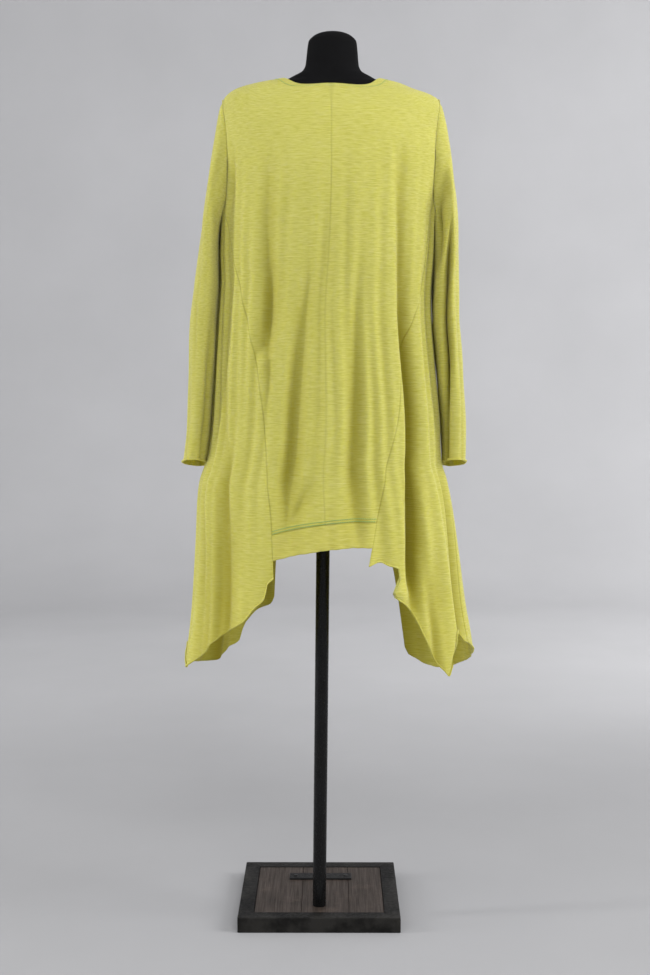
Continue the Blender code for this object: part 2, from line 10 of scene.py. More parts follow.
import bmesh
import bpy
import numpy as np
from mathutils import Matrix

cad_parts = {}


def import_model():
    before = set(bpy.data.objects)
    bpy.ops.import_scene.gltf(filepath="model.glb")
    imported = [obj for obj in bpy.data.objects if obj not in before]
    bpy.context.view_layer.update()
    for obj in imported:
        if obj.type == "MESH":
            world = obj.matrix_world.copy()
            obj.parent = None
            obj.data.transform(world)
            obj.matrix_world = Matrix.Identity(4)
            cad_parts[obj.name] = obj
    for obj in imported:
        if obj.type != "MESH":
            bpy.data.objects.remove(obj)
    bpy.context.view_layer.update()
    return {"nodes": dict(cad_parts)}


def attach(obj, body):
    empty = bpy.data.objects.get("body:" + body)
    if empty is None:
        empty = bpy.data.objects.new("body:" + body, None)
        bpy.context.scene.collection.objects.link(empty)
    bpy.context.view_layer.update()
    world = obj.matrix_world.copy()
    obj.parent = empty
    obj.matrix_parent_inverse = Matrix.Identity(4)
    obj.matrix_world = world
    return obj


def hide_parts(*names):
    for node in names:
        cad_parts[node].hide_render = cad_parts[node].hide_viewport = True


# Camera
CAMERA_PLACE = (0.0192, -2.7258, 1.0397)
CAMERA_DOWN = math.radians(4.8585)
CAMERA_TURN = 0.0032
CAMERA_LENS = 53.39

# Axis of the pole, the form and the dress, in plan
AXIS_Y = -0.084
SECTION_POWER = 0.85  # under 1, a section is fuller than an ellipse

# Heights of the dress's lines
NECK_SIDE_Z = 1.5465
NECK_HALF_WIDTH = 0.088
NECK_BACK_Z = 1.5316
NECK_FRONT_Z = 1.478
SHOULDER_TIP_Z = 1.5087
YOKE_BACK_Z = 1.494
YOKE_FRONT_Z = 1.440
UNDERARM_Z = 1.296
PRINCESS_TOP_Z = 1.335
PRINCESS_EASE = 0.05  # height in which the slanting seam leaves the armhole
CUFF_Z = 0.871
FRONT_HEM_Z = 0.700
ARMHOLE_MIDDLE_Z = (SHOULDER_TIP_Z + UNDERARM_Z) / 2
ARMHOLE_HALF_HEIGHT = (SHOULDER_TIP_Z - UNDERARM_Z) / 2
ARMHOLE_HALF_ANGLE = 20.0
ARMHOLE_FULLNESS = 0.7
BACK_NECK_POWER = 4.0
FRONT_NECK_POWER = 2.3

# Cloth
THICKNESS = 0.0011
BAND_THICKNESS = 0.0020
# Edges: radius and turn of the curl, whether it goes inward
CURLS = {"raw": (0.0008, 250.0, False), "folded": (BAND_THICKNESS * 0.7, 170.0, True)}
# Unevenness of a curl: size, rate along the edge, phase
CURL_WAVES = ((0.25, 120.0, 0.0), (0.2, 331.0, 1.0))
CURL_UV_STEP = 0.0012
SEAM_DIP = 0.0006
SEAM_WIDTH = 0.0013
SEAM_RIDGE = (0.0002, 0.0045, 0.0022)  # beside the seam: size, distance, half-width
SEAM_SHADE = 0.008  # its painted shade, as a depth of fold
CENTRE_SEAM = 0.5  # how strong the centre-back seam is beside the others
TURN_DEPTH = 0.0075  # of the turned neck edge
TURN_LIFT = 0.0006
TURN_STEP = 0.0008  # width of its step
EDGE_STEPS = (0.0, 0.0006, 0.0012, 0.0019, 0.0028, 0.0042)
EDGE_ROOM = 1.3  # free length after them, beside the length that they fill
YOKE_UV_Z = 1.49
UV_RADIUS = 0.2
FORM_UV_RADIUS = 0.15
LEAST_AREA = 0.3  # of a sheet, beside its width times its length
PAINTED_SHADE_FULL_DEPTH = 0.020  # depth of fold at which its painted shade is at its darkest

# The dress at each height, in millimetres: centre in X, half-widths to the left and right of it,
# and depths behind and before the axis
BODY_MM = (
    (1546.5, 22, 88, 88, 52.5, 47),
    (1540.5, 22, 133, 121, 54, 49),
    (1530, 22, 172, 148, 57.2, 52),
    (1519.3, 22, 187.5, 179, 64.5, 57),
    (1508.7, 22, 195, 194, 72, 62),
    (1487.5, 22, 198, 198, 85, 73),
    (1450, 22, 197, 197, 101, 90),
    (1400, 22, 196, 196, 114, 109),
    (1350, 21.5, 195, 193, 120, 125),
    (1296, 20, 197.5, 190, 123, 137),
    (1240, 17.5, 196.5, 190, 123, 142),
    (1180, 13.5, 191.2, 189.5, 121, 142),
    (1120, 11, 193, 192.5, 120, 140),
    (1050, 12, 198.5, 197.5, 121, 140),
    (950, 13, 206.5, 206.5, 126, 143),
    (885, 10.5, 211.5, 211.5, 132, 146),
    (860, 8.5, 215.5, 215.5, 134, 148),
    (830, 8.2, 225.5, 225, 136.5, 149.2),
    (790, 10, 232.5, 231.5, 141, 152),
    (710, 13.6, 240, 240, 147, 157),
    (607, 18, 251, 250, 153, 163),
    (550, 21, 260, 257, 156, 166),
    (470, 23, 273, 266, 159, 170),
)

# The form at each height, with the same columns
FORM_MM = (
    (1631, 24, 6, 6, 6, 6),
    (1630, 24, 15.5, 15.5, 15.5, 15),
    (1627.2, 24, 25.5, 25.5, 25, 24),
    (1622.2, 24, 35, 35, 34.5, 33),
    (1613, 24, 43, 43, 42, 40),
    (1593, 23.8, 45.5, 45.5, 44.5, 42),
    (1572, 23.4, 47.8, 47.8, 46, 42.5),
    (1561.5, 23, 53, 53, 47.5, 43),
    (1550.5, 22.4, 72.5, 72.5, 48.5, 42.5),
    (1544.4, 22, 85, 85, 49.4, 44),
    (1537.4, 22, 133, 121, 51, 46),
    (1526.9, 22, 170, 148, 54.5, 49),
    (1514.7, 22, 180, 175, 62.5, 54),
    (1500, 22, 182, 180, 72, 62),
    (1470, 22, 180, 179, 86, 75),
    (1430, 22, 174, 174, 99, 90),
    (1380, 21.8, 166, 166, 108, 106),
    (1330, 21, 159, 159, 111, 120),
    (1280, 19, 153, 153, 109, 128),
    (1220, 16.5, 144, 144, 101, 120),
    (1150, 13.5, 131, 131, 90, 103),
    (1100, 12, 125, 125, 85, 93),
    (1030, 11, 137, 137, 94, 96),
    (960, 10, 159, 159, 106, 101),
    (900, 9, 171, 171, 113, 104),
    (840, 8.5, 172, 172, 113, 103),
    (812, 8.3, 169, 169, 110, 101),
    (803, 8.2, 164, 164, 106, 97),
    (800, 8.2, 156, 156, 99, 91),
)

# The sleeve at each height, in millimetres: distances of its near and far sides from the dress's
# centre, and half its depth
SLEEVE_MM = (
    (1512, 190, 197, 30),
    (1487, 190, 204, 45),
    (1444, 190.5, 211, 58),
    (1379, 192, 219, 70),
    (1294, 194.5, 229, 78),
    (1209, 191.5, 236, 78),
    (1123, 193.8, 243.3, 74),
    (1036, 200, 249, 68),
    (949, 208, 253, 60),
    (906, 212, 255.5, 55),
    (866, 215.5, 258, 52),
)
BODY, FORM, SLEEVE = (
    [[round(size / 1000, 5) for size in row] for row in table]
    for table in (BODY_MM, FORM_MM, SLEEVE_MM)
)
LEFT_SHIFT = (1.265, 0.065, 0.0065)  # of the left near side: height, half-height, size
SLEEVE_BLEND = 0.11
SLEEVE_LAP = 0.003  # how far the sleeve's top lies over the body's edge
SLEEVE_LAP_ANGLE = 0.9
SLEEVE_LIFT = 0.0013
CUFF_FRONT_DROP = 0.018
CUFF_DROP_HEIGHT = 0.10
SLEEVE_POWER = 0.8  # of its section
SLEEVE_GROOVE = (0.0018, 0.006, 0.003)  # below the armhole: depth, distance, half-width
SLEEVE_RIPPLE = (0.0010, 5, 31.0, 17.0)  # size, waves round it, their slant, rate down it
SLEEVE_CROWDING = 1.15  # of its rows towards the armhole

# Folds of a sleeve: its turn by height (0 outside, 90 behind, 180 towards the body), its depth in
# millimetres by height, and its half-widths towards lower and higher turns
SLEEVE_FOLDS = {
    -1: (
        (((1.44, 66), (1.365, 74), (1.27, 128)),
         ((1.46, 0), (1.38, 5), (1.3, 4), (1.26, 0)), 9, 12),
        (((1.12, 128), (1.03, 127), (0.86, 131)),
         ((1.14, 0), (1.04, 6), (0.95, 8), (0.84, 7)), 14, 11),
        (((1.3, 62), (0.95, 72)), ((1.3, 0), (1.12, 5), (0.95, 0)), 12, 16),
        (((1.1, 40), (0.8, 52)), ((1.12, 0), (0.95, 4), (0.8, 4)), 10, 14),
        (((1.3, 250), (0.8, 262)), ((1.3, 0), (1.1, 9), (0.8, 8)), 16, 16),
        (((1.4, 300), (1, 312)), ((1.4, 0), (1.22, 6), (1, 0)), 12, 16),
    ),
    1: (
        (((1.31, 86), (1.14, 98), (1.06, 103), (1, 116), (0.94, 132), (0.86, 142)),
         ((1.32, 0), (1.27, 12), (1.2, 26), (1, 28), (0.93, 20), (0.84, 12)),
         13, 15),
        (((1.44, 98), (1.38, 112), (1.306, 160)),
         ((1.45, 0), (1.4, 6), (1.3, 0)), 9, 12),
        (((1.41, 50), (1.35, 88), (1.297, 127), (1.2, 142), (1.1, 152)),
         ((1.43, 0), (1.36, 9), (1.3, 20), (1.25, 10), (1.2, 0)), 12, 15),
        (((1.24, 52), (0.8, 60)), ((1.24, 0), (1.1, 4), (0.8, 4)), 11, 11),
        (((1.28, 262), (0.8, 255)), ((1.28, 0), (1.1, 10), (0.8, 9)), 16, 16),
        (((1.4, 302), (1, 314)), ((1.4, 0), (1.22, 6), (1, 0)), 12, 16),
    ),
}

# Angle of the slanting seam at each height
PRINCESS = {
    -1: ((1.335, 73), (1.27, 64.5), (1.18, 53), (1.11, 44.5), (1.05, 38.5), (0.98, 33.8),
         (0.9, 29.8), (0.83, 25.6), (0.76, 23.6), (0.64, 22.6)),
    1: ((1.335, 73), (1.3, 68), (1.18, 63), (1.12, 54.5), (1.07, 46.8), (1.02, 41.8),
        (0.95, 38), (0.9, 34), (0.83, 28.2), (0.76, 22.4), (0.72, 19.6), (0.69, 17.6)),
}
# Angle of the side seam at the underarm and at the hem
SIDE_SEAM = {-1: (90, 88), 1: (90, 75)}

# Height of the hem at each angle, from the slanting seam round to the centre front
HEM = {
    -1: ((22.6, 0.668), (25.6, 0.656), (26.8, 0.633), (31, 0.616), (38, 0.586), (46, 0.57),
         (52, 0.557), (57, 0.543), (60, 0.53), (68, 0.512), (79.5, 0.4905),
         (88, 0.53), (97, 0.492), (105, 0.482), (119, 0.478), (132, 0.498),
         (137.5, 0.508), (139.5, 0.54), (147, 0.572), (151.5, 0.58), (153.6, 0.594),
         (154, 0.64), (155.5, 0.69), (166, 0.697), (180, FRONT_HEM_Z)),
    1: ((17.6, 0.69), (22, 0.697), (26.7, 0.69), (31, 0.684), (32.5, 0.63),
        (37.6, 0.5975), (40.1, 0.5725), (45.1, 0.5275), (51.5, 0.4955), (53.2, 0.487),
        (55, 0.4945), (58.5, 0.512), (61.5, 0.558), (64, 0.566), (69.5, 0.563),
        (71.2, 0.543), (75, 0.538), (84, 0.523), (91, 0.51), (106, 0.484), (118, 0.466),
        (130, 0.459), (142, 0.478), (144.5, 0.5), (146, 0.62), (151, 0.682),
        (160, 0.695), (180, FRONT_HEM_Z)),
}
# Ruffle at the inner edge of the right hem point: angle, height, half-width, half-height, turn
# aside in degrees, push outward
RUFFLE = (31, 0.641, 7, 0.015, 5.5, 0.006)

# Hem band of the centre back: heights at its left corner, centre and right corner
BAND_TOP = (0.742, 0.761, 0.764)
BAND_BOTTOM = (0.699, 0.718, 0.722)

# Folds of the body: its middle's angle by height, its depth in millimetres by height, and its
# half-widths towards lower and higher angles, in degrees
FOLDS = (
    (((1.42, -33.8), (1.23, -33.6), (1.14, -33), (1.05, -35)),
     ((1.43, 0), (1.33, 5), (1.22, 11), (1.12, 18), (1.075, 13), (1.05, 0)),
     2.6, 6.5),
    (((1.08, -31), (0.96, -30)), ((1.08, 0), (1.03, 6), (0.95, 0)), 3, 4.5),
    (((1.43, -62), (1.3, -63.5)), ((1.44, 0), (1.37, 5), (1.29, 0)), 3, 4),
    (((1.44, -76), (1.34, -77)), ((1.45, 0), (1.4, 4), (1.33, 0)), 1.6, 2.6),
    (((1.32, -5), (1.22, -7.3), (1.12, -12.1), (1.04, -15.2), (0.94, -17.3), (0.8, -17.1),
      (0.7, -15)),
     ((1.33, 0), (1.22, 3), (1.1, 9), (0.95, 15), (0.86, 16), (0.8, 11),
      (0.74, 4), (0.7, 1)),
     3, 5.8),
    (((0.84, -6.5), (0.81, -8.6), (0.76, -15.1)), ((0.85, 0), (0.8, 6), (0.755, 0)),
     2, 4),
    (((1.18, 17), (1.04, 15.7), (0.94, 14.2), (0.76, 13.5)),
     ((1.22, 0), (1.1, 6), (1, 12), (0.86, 14), (0.78, 10), (0.72, 2)),
     4, 4.8),
    (((1.42, 35.5), (1.36, 37.3), (1.235, 41.6), (1.15, 44.8), (1.065, 45.7), (0.98, 46.7),
      (0.895, 46.8), (0.81, 43.2), (0.73, 40.2), (0.69, 38.6), (0.6, 36.6)),
     ((1.44, 0), (1.35, 6), (1.23, 12), (1.12, 20), (1.03, 27), (0.95, 30),
      (0.86, 31), (0.79, 38), (0.74, 38), (0.68, 34), (0.63, 18), (0.58, 4)),
     2.6, 5.2),
    (((1, -62), (0.94, -60), (0.85, -52.5), (0.73, -48), (0.5, -47.5)),
     ((1.03, 0), (0.9, 7), (0.76, 14), (0.62, 19), (0.5, 12)),
     9, 4),
    (((0.9, 66), (0.8, 71), (0.66, 69.5), (0.5675, 67.5), (0.5125, 60.5), (0.45, 57)),
     ((0.9, 0), (0.83, 5), (0.75, 14), (0.62, 20), (0.5, 22)),
     2.4, 5),
    (((0.72, 52), (0.5, 46.5)), ((0.73, 0), (0.62, 10), (0.5, 13)), 4.5, 6),
    (((0.8, -69), (0.5, -65)), ((0.8, 0), (0.66, 8), (0.5, 9)), 5, 7),
    (((1.44, 39), (1.34, 40)), ((1.44, 0), (1.39, 2), (1.33, 0)), 2, 3),
    (((1.2, 114), (0.5, 116)), ((1.2, 0), (0.9, 12), (0.5, 17)), 7, 9),
    (((1.22, 142), (0.5, 144)), ((1.24, 0), (0.9, 9), (0.5, 13)), 8, 6),
    (((1.24, 178), (0.5, 176)), ((1.26, 0), (0.9, 11), (0.5, 15)), 9, 7),
    (((1.22, 212), (0.5, 210)), ((1.24, 0), (0.9, 9), (0.5, 13)), 6, 8),
    (((1.18, 242), (0.5, 240)), ((1.2, 0), (0.9, 12), (0.5, 17)), 9, 7),
    (((1.4, 128), (1.18, 134)), ((1.42, 0), (1.31, 6), (1.18, 0)), 4, 6),
    (((1.4, 232), (1.18, 226)), ((1.42, 0), (1.31, 6), (1.18, 0)), 6, 4),
)

STRAIGHT_FOLDS = 0.75  # how far the folds of the back run straight in, not towards the axis
CREASE_POWER = 1.8  # 2 would round the bottom of a fold, 1 would make it a sharp line

# Faint unevenness of the hanging cloth
RIPPLES = 22
RIPPLE_DEPTH = 0.0012
RIPPLE_SEED = 7
RIPPLE_WAVES = (9, 60)  # fewest and most round the body
RIPPLE_SLANT = 11.0
RIPPLE_TOP = 1.50
RIPPLE_FADE = 0.30

# Stitches: length, gap, radius
BAND_STITCH = (0.0030, 0.0003, 0.0008)
NECK_STITCH = (0.0028, 0.0006, 0.0006)
BAND_STITCH_RISE = {"upper": 0.0068, "lower": 0.0022}
NECK_STITCH_PLACE = 0.115  # from the neckline, as a share of the shoulder
STITCH_LIFT = 0.0002

# Grid rows and columns: their number and the rough length that they fill
SHOULDER_ROWS = (18, 0.11)
BACK_ROWS = (120, 0.58)
LONG_ROWS = (120, 0.70)
BAND_ROWS = (14, 0.043)
SLEEVE_ROWS = (130, 0.64)
BACK_COLUMNS = (64, 0.15)
BAND_COLUMNS = (64, 0.10)
SIDE_COLUMNS = (90, 0.20)
FRONT_COLUMNS = (76, 0.30)

# Grid counts alone
BACK_RING_ROWS = 30
FRONT_RING_ROWS = 34
SLEEVE_COLUMNS = 110
FORM_COLUMNS = 96
FORM_ROWS = 150
CURL_ROWS = 7
HALVINGS = 36
RING_POWER = 3.0  # how level a line beside the armhole starts
BOW_FADE = 6.0  # how soon the bow of the armhole leaves the side panel
NORMAL_STEP = (0.4, 0.001)  # degrees, metres

# Colours
LIME = (0.565, 0.530, 0.125)
LIME_DARK = (0.410, 0.378, 0.045)
LIME_PALE = (0.700, 0.665, 0.230)
# Painted shade: the colour of the cloth deep in its folds and seams
LIME_PAINTED_SHADE = (0.235, 0.200, 0.003)
THREAD = (0.290, 0.480, 0.150)
BLACK_CLOTH = (0.0036, 0.0036, 0.0039)
BLACK_STEEL = (0.0035, 0.0035, 0.0036)
IRON = (0.0034, 0.0033, 0.0030)
IRON_WORN = (0.036, 0.034, 0.031)
WOOD_DARK = (0.020, 0.014, 0.0105)
WOOD_PALE = (0.080, 0.058, 0.046)
STUDIO_GREY = (0.44, 0.44, 0.45)
WORLD_COLOUR = (0.9, 0.9, 0.92)
WORLD_STRENGTH = 0.66

# Area lights: name, place, aim, width and height, power
AIM = (0.0, -0.1, 1.0)
LIGHTS = (
    ("key_light", (3.3, -1.0, 2.3), AIM, (1.5, 2.0), 82.0),
    ("front_light", (0.9, -3.4, 2.8), AIM, (1.8, 2.0), 62.0),
    ("left_fill", (-1.9, -3.0, 2.2), AIM, (1.8, 2.0), 24.0),
    ("left_strip", (-3.2, -0.5, 1.2), AIM, (0.3, 1.8), 46.0),
    ("wall_right", (2.4, 1.4, 2.4), (2.4, 5.0, 1.2), (1.5, 1.5), 102.0),
    ("wall_left", (-0.9, 1.4, 2.4), (-0.9, 5.0, 1.2), (1.5, 1.5), 24.0),
)


def smooth(table, column, at):
    """A column's values at places along a table's first column, by a curve with no overshoot."""
    rows = sorted(table)
    x = np.array([row[0] for row in rows])
    y = np.array([row[column] for row in rows])
    slope = np.diff(y) / np.diff(x)
    tangent = np.zeros(len(x))
    tangent[0], tangent[-1] = slope[0], slope[-1]
    same = slope[:-1] * slope[1:] > 0
    pair = slope[:-1] + slope[1:]
    tangent[1:-1][same] = 2.0 * (slope[:-1] * slope[1:])[same] / pair[same]
    at = np.clip(at, x[0], x[-1])
    i = np.clip(np.searchsorted(x, at) - 1, 0, len(x) - 2)
    width = x[i + 1] - x[i]
    t = (at - x[i]) / width
    return (
        (2 * t**3 - 3 * t**2 + 1) * y[i]
        + (t**3 - 2 * t**2 + t) * width * tangent[i]
        + (3 * t**2 - 2 * t**3) * y[i + 1]
        + (t**3 - t**2) * width * tangent[i + 1]
    )


def ease(t):
    """0 to 1 with level ends."""
    t = np.clip(t, 0.0, 1.0)
    return t * t * (3.0 - 2.0 * t)


def mix(first, last, t):
    return first + (last - first) * t


def unit(vectors):
    return vectors / np.maximum(np.linalg.norm(vectors, axis=-1, keepdims=True), 1e-12)


def sin_of(degrees):
    return np.sin(np.radians(degrees))


def cos_of(degrees):
    return np.cos(np.radians(degrees))


def section_point(table, angle, z):
    """Points on a stack of level sections, at angles and heights."""
    sine, cosine = sin_of(angle), cos_of(angle)
    depth = np.where(cosine > 0, smooth(table, 4, z), smooth(table, 5, z))
    half = np.where(sine < 0, smooth(table, 2, z), smooth(table, 3, z))
    x = smooth(table, 1, z) + half * sine
    y = AXIS_Y - np.sign(cosine) * depth * np.abs(cosine) ** SECTION_POWER
    return np.stack((x, y, z), axis=-1)


def ripple(angle, z):
    """A faint unevenness, longer down the cloth than across it."""
    source = np.random.default_rng(RIPPLE_SEED)
    total = np.zeros_like(z)
    for _ in range(RIPPLES):
        across = source.integers(*RIPPLE_WAVES)
        down = source.uniform(-RIPPLE_SLANT, RIPPLE_SLANT)
        phase = source.uniform(0.0, 2 * math.pi)
        total += np.cos(np.radians(angle) * across + z * down + phase)
    return total * RIPPLE_DEPTH / math.sqrt(RIPPLES / 2)


def folds_at(folds, angle, z):
    """How far folds draw the cloth in: each has a sharp crease and fades to both sides."""
    total = np.zeros(np.broadcast(angle, z).shape)
    for path, depths, before, after in folds:
        away = (angle - smooth(path, 1, z) + 180.0) % 360.0 - 180.0
        share = np.abs(away) / np.where(away < 0, before, after)
        depth = smooth([(level, size / 1000) for level, size in depths], 1, z)
        total += depth * np.exp(-(share**CREASE_POWER))
    return total


def fold_depth(angle, z):
    rippled = ripple(angle, z) * ease((RIPPLE_TOP - z) / RIPPLE_FADE)
    return rippled - RUFFLE[5] * ruffle(angle, z) + folds_at(FOLDS, angle, z)


def ruffle(angle, z):
    """How strongly the ruffle of the right hem point is felt at a place, from 0 to 1."""
    middle, level, half, half_height = RUFFLE[:4]
    return np.exp(-(((angle - middle) / half) ** 2) - ((z - level) / half_height) ** 2)


def half_width(side, z):
    return smooth(BODY, 2 if side < 0 else 3, z)


def body_point(angle, z):
    """Points on the outside of the dress's body."""
    point = section_point(BODY, angle, z)
    centre = np.stack((smooth(BODY, 1, z), np.full_like(z, AXIS_Y), z), axis=-1)
    away = unit(point - centre)
    away[..., 0] *= 1.0 - STRAIGHT_FOLDS * np.sqrt(np.maximum(cos_of(angle), 0.0))
    return point - unit(away) * fold_depth(angle, z)[..., None]


def body_normal(angle, z):
    """The outward direction of the dress's body."""
    aside, up = NORMAL_STEP
    around = body_point(angle + aside, z) - body_point(angle - aside, z)
    upward = body_point(angle, z + up) - body_point(angle, z - up)
    return unit(np.cross(around, upward))


def height_over(side, x, depth, front):
    """Height of the shoulders over a place in plan, given from the centre line and the axis."""
    low, high = np.full_like(x, UNDERARM_Z), np.full_like(x, NECK_SIDE_Z)
    for _ in range(HALVINGS):
        z = (low + high) / 2
        across = (x / half_width(side, z)) ** 2
        along = (depth / smooth(BODY, 5 if front else 4, z)) ** (2 / SECTION_POWER)
        inside = across + along < 1.0
        low, high = np.where(inside, z, low), np.where(inside, high, z)
    return (low + high) / 2


def shoulder_line(side, t, shares, front):
    """Angles and heights of a grid line over the shoulder, with t from neckline to tip."""
    reach = mix(NECK_HALF_WIDTH, half_width(side, SHOULDER_TIP_Z), t)
    first_z = NECK_FRONT_Z if front else NECK_BACK_Z
    last_z = YOKE_FRONT_Z if front else YOKE_BACK_Z
    depth = smooth(BODY, 5 if front else 4, mix(first_z, last_z, t))
    squareness = mix(FRONT_NECK_POWER if front else BACK_NECK_POWER, 2 / SECTION_POWER, t)
    turn = np.radians(90.0 * shares)
    x = reach * np.sin(turn) ** (2 / squareness)
    away = depth * np.maximum(np.cos(turn), 0.0) ** (2 / squareness)
    z = height_over(side, x, away, front)
    angle = np.degrees(np.arcsin(np.minimum(x / half_width(side, z), 1.0)))
    return (180.0 - angle if front else angle), z


def armhole(turn):
    """The armhole's height and half-opening at a turn, 0 at the shoulder tip, 180 at its base."""
    z = ARMHOLE_MIDDLE_Z + ARMHOLE_HALF_HEIGHT * cos_of(turn)
    opening = ARMHOLE_HALF_ANGLE * np.maximum(sin_of(turn), 0.0) ** ARMHOLE_FULLNESS
    return z, opening


def princess_turn():
    """Where the slanting seam leaves the armhole, as a turn."""
    return math.degrees(math.acos((PRINCESS_TOP_Z - ARMHOLE_MIDDLE_Z) / ARMHOLE_HALF_HEIGHT))


def princess_angle(side, z):
    top = 90.0 - armhole(princess_turn())[1]
    near_top = ease((z - PRINCESS_TOP_Z + PRINCESS_EASE) / PRINCESS_EASE)
    return mix(smooth(PRINCESS[side], 1, z), top, near_top)


def side_seam_angle(side, share):
    first, last = SIDE_SEAM[side]
    return mix(first, last, share)


def band_height(heights, share):
    """Height across the band, from -1 at its left corner to 1 at its right."""
    left, middle, right = heights
    return middle + (right - left) / 2 * share + ((left + right) / 2 - middle) * share**2


def shares_of(count, length, crowd_start=True, crowd_end=True):
    """Places from 0 to 1 along a length, with extra ones close to the ends that are asked for."""
    steps = np.array(EDGE_STEPS) / length
    shares = [np.linspace(0.0, 1.0, count + 1)]
    if crowd_start:
        shares = [steps, shares[0][shares[0] > steps[-1] * EDGE_ROOM]]
    if crowd_end:
        shares[-1] = shares[-1][shares[-1] < 1.0 - steps[-1] * EDGE_ROOM]
        shares.append((1.0 - steps)[::-1])
    return np.concatenate(shares)


def shoulder_lines(side, shares, front):
    places = shares_of(*SHOULDER_ROWS, crowd_end=False)[:-1]
    return [shoulder_line(side, t, shares, front) for t in places]


def back_grid(side):
    """Angles and heights of the centre-back panel on one side, from the centre out."""
    shares = shares_of(*BACK_COLUMNS)
    lines = shoulder_lines(side, shares, False)
    for down in np.linspace(0.0, 1.0, BACK_RING_ROWS + 1)[1:]:
        edge_z, opening = armhole(princess_turn() * down)
        centre_z = mix(YOKE_BACK_Z, PRINCESS_TOP_Z, down)
        z = mix(centre_z, edge_z, shares ** mix(RING_POWER, 1.0, down))
        lines.append(((90.0 - opening) * shares, z))
    corner = BAND_TOP[0 if side < 0 else 2]
    for down in shares_of(*BACK_ROWS, crowd_start=False)[1:]:
        edge = princess_angle(side, mix(PRINCESS_TOP_Z, corner, down))
        z = mix(PRINCESS_TOP_Z, band_height(BAND_TOP, side * shares), down)
        lines.append((edge * shares, z))
    angles, heights = np.array(lines).swapaxes(0, 1)
    return side * angles, heights


def band_angles(shares, z):
    return np.where(shares < 0, princess_angle(-1, z), princess_angle(1, z)) * shares


def band_grid():
    """Angles and heights of the hem band, left to right."""
    half = shares_of(*BAND_COLUMNS, crowd_start=False)
    shares = np.concatenate((-half[:0:-1], half))
    down = shares_of(*BAND_ROWS)[:, None]
    heights = mix(band_height(BAND_TOP, shares), band_height(BAND_BOTTOM, shares), down)
    return band_angles(shares, heights), heights


def side_back_grid(side):
    """Angles and heights of a side-back panel, from the slanting seam to the side seam."""
    shares = shares_of(*SIDE_COLUMNS)[None, :]
    down = shares_of(*LONG_ROWS)[:, None]
    top_z, opening = armhole(mix(princess_turn(), 180.0, shares))
    hem_angle = mix(PRINCESS[side][-1][1], side_seam_angle(side, 1.0), shares)
    z = mix(top_z, smooth(HEM[side], 1, hem_angle), down)
    angle = mix(princess_angle(side, z), side_seam_angle(side, down), shares)
    if side > 0:
        angle = angle - RUFFLE[4] * ruffle(angle, z)
    top_inner = princess_angle(side, np.array(PRINCESS_TOP_Z))
    straight = mix(top_inner, side_seam_angle(side, 0.0), shares)
    bow = 90.0 - opening - straight
    return side * (angle + bow * (1.0 - ease(down * BOW_FADE))), z


def chest_line(first, shares, down, centre_z, edge_z, reach):
    """Angles and heights of a grid line beside the armhole, eased from the shoulder's last one."""
    angle, z = first
    start_z = z + mix(centre_z - z[0], edge_z - z[-1], shares)
    end_z = mix(centre_z, edge_z, shares ** mix(RING_POWER, 1.0, down))
    angle = mix(angle * reach / 90.0, reach * shares, ease(down))
    return angle, mix(start_z, end_z, ease(down))


def front_half(side):
    """Angles and heights of half the front, from the centre front out to the side seam."""
    shares = shares_of(*FRONT_COLUMNS, crowd_start=False)
    angle, z = shoulder_line(side, 1.0, shares, True)
    last_line = (180.0 - angle, z)
    lines = shoulder_lines(side, shares, True)
    for down in np.linspace(0.0, 1.0, FRONT_RING_ROWS + 1)[1:]:
        edge_z, opening = armhole(180.0 * down)
        centre_z = mix(YOKE_FRONT_Z, UNDERARM_Z, down)
        angle, z = chest_line(last_line, shares, down, centre_z, edge_z, 90.0 - opening)
        lines.append((180.0 - angle, z))
    hem_angle = mix(180.0, side_seam_angle(side, 1.0), shares)
    for down in shares_of(*LONG_ROWS, crowd_start=False)[1:]:
        z = mix(UNDERARM_Z, smooth(HEM[side], 1, hem_angle), down)
        lines.append((mix(180.0, side_seam_angle(side, down), shares), z))
    return np.array(lines).swapaxes(0, 1)


def front_grid():
    """Angles and heights of the front, from the right side seam round to the left one."""
    right_angles, right_heights = front_half(1)
    left_angles, left_heights = front_half(-1)
    angles = np.hstack((right_angles[:, ::-1], 360.0 - left_angles[:, 1:]))
    return angles, np.hstack((right_heights[:, ::-1], left_heights[:, 1:]))


def seam_dip(distance):
    """The groove of a seam with a low ridge beside it, by distance from the seam line."""
    groove = -SEAM_DIP * np.exp(-((distance / SEAM_WIDTH) ** 2))
    size, place, half = SEAM_RIDGE
    return groove + size * np.exp(-(((distance - place) / half) ** 2))


def run_lengths(points, axis):
    """Distances from the first point, along rows (axis 1) or columns (axis 0)."""
    step = np.linalg.norm(np.diff(points, axis=axis), axis=-1)
    start = np.zeros_like(np.take(step, [0], axis=axis))
    return np.concatenate((start, np.cumsum(step, axis=axis)), axis=axis)


def edge_distances(points):
    """Distances from a grid's edges: first and last column, top and bottom row."""
    across, down = run_lengths(points, 1), run_lengths(points, 0)
    return {
        "first": across,
        "last": across[:, -1:] - across,
        "top": down,
        "bottom": down[-1:] - down,
    }


def pressed(points, normals, distance, seams, turned):
    """The points with grooves along the seams, and with the double thickness of a turned edge."""
    lift = sum(strength * seam_dip(distance[name]) for name, strength in seams.items())
    if turned:
        lift = lift + TURN_LIFT * (1.0 - ease((distance["top"] - TURN_DEPTH) / TURN_STEP))
    return points + normals * lift[..., None]


def seam_shade(distance, seams):
    """The painted shade in the seams, as a depth of fold."""
    shades = (
        strength * np.exp(-((distance[name] / SEAM_WIDTH) ** 2)) for name, strength in seams.items()
    )
    return SEAM_SHADE * sum(shades)


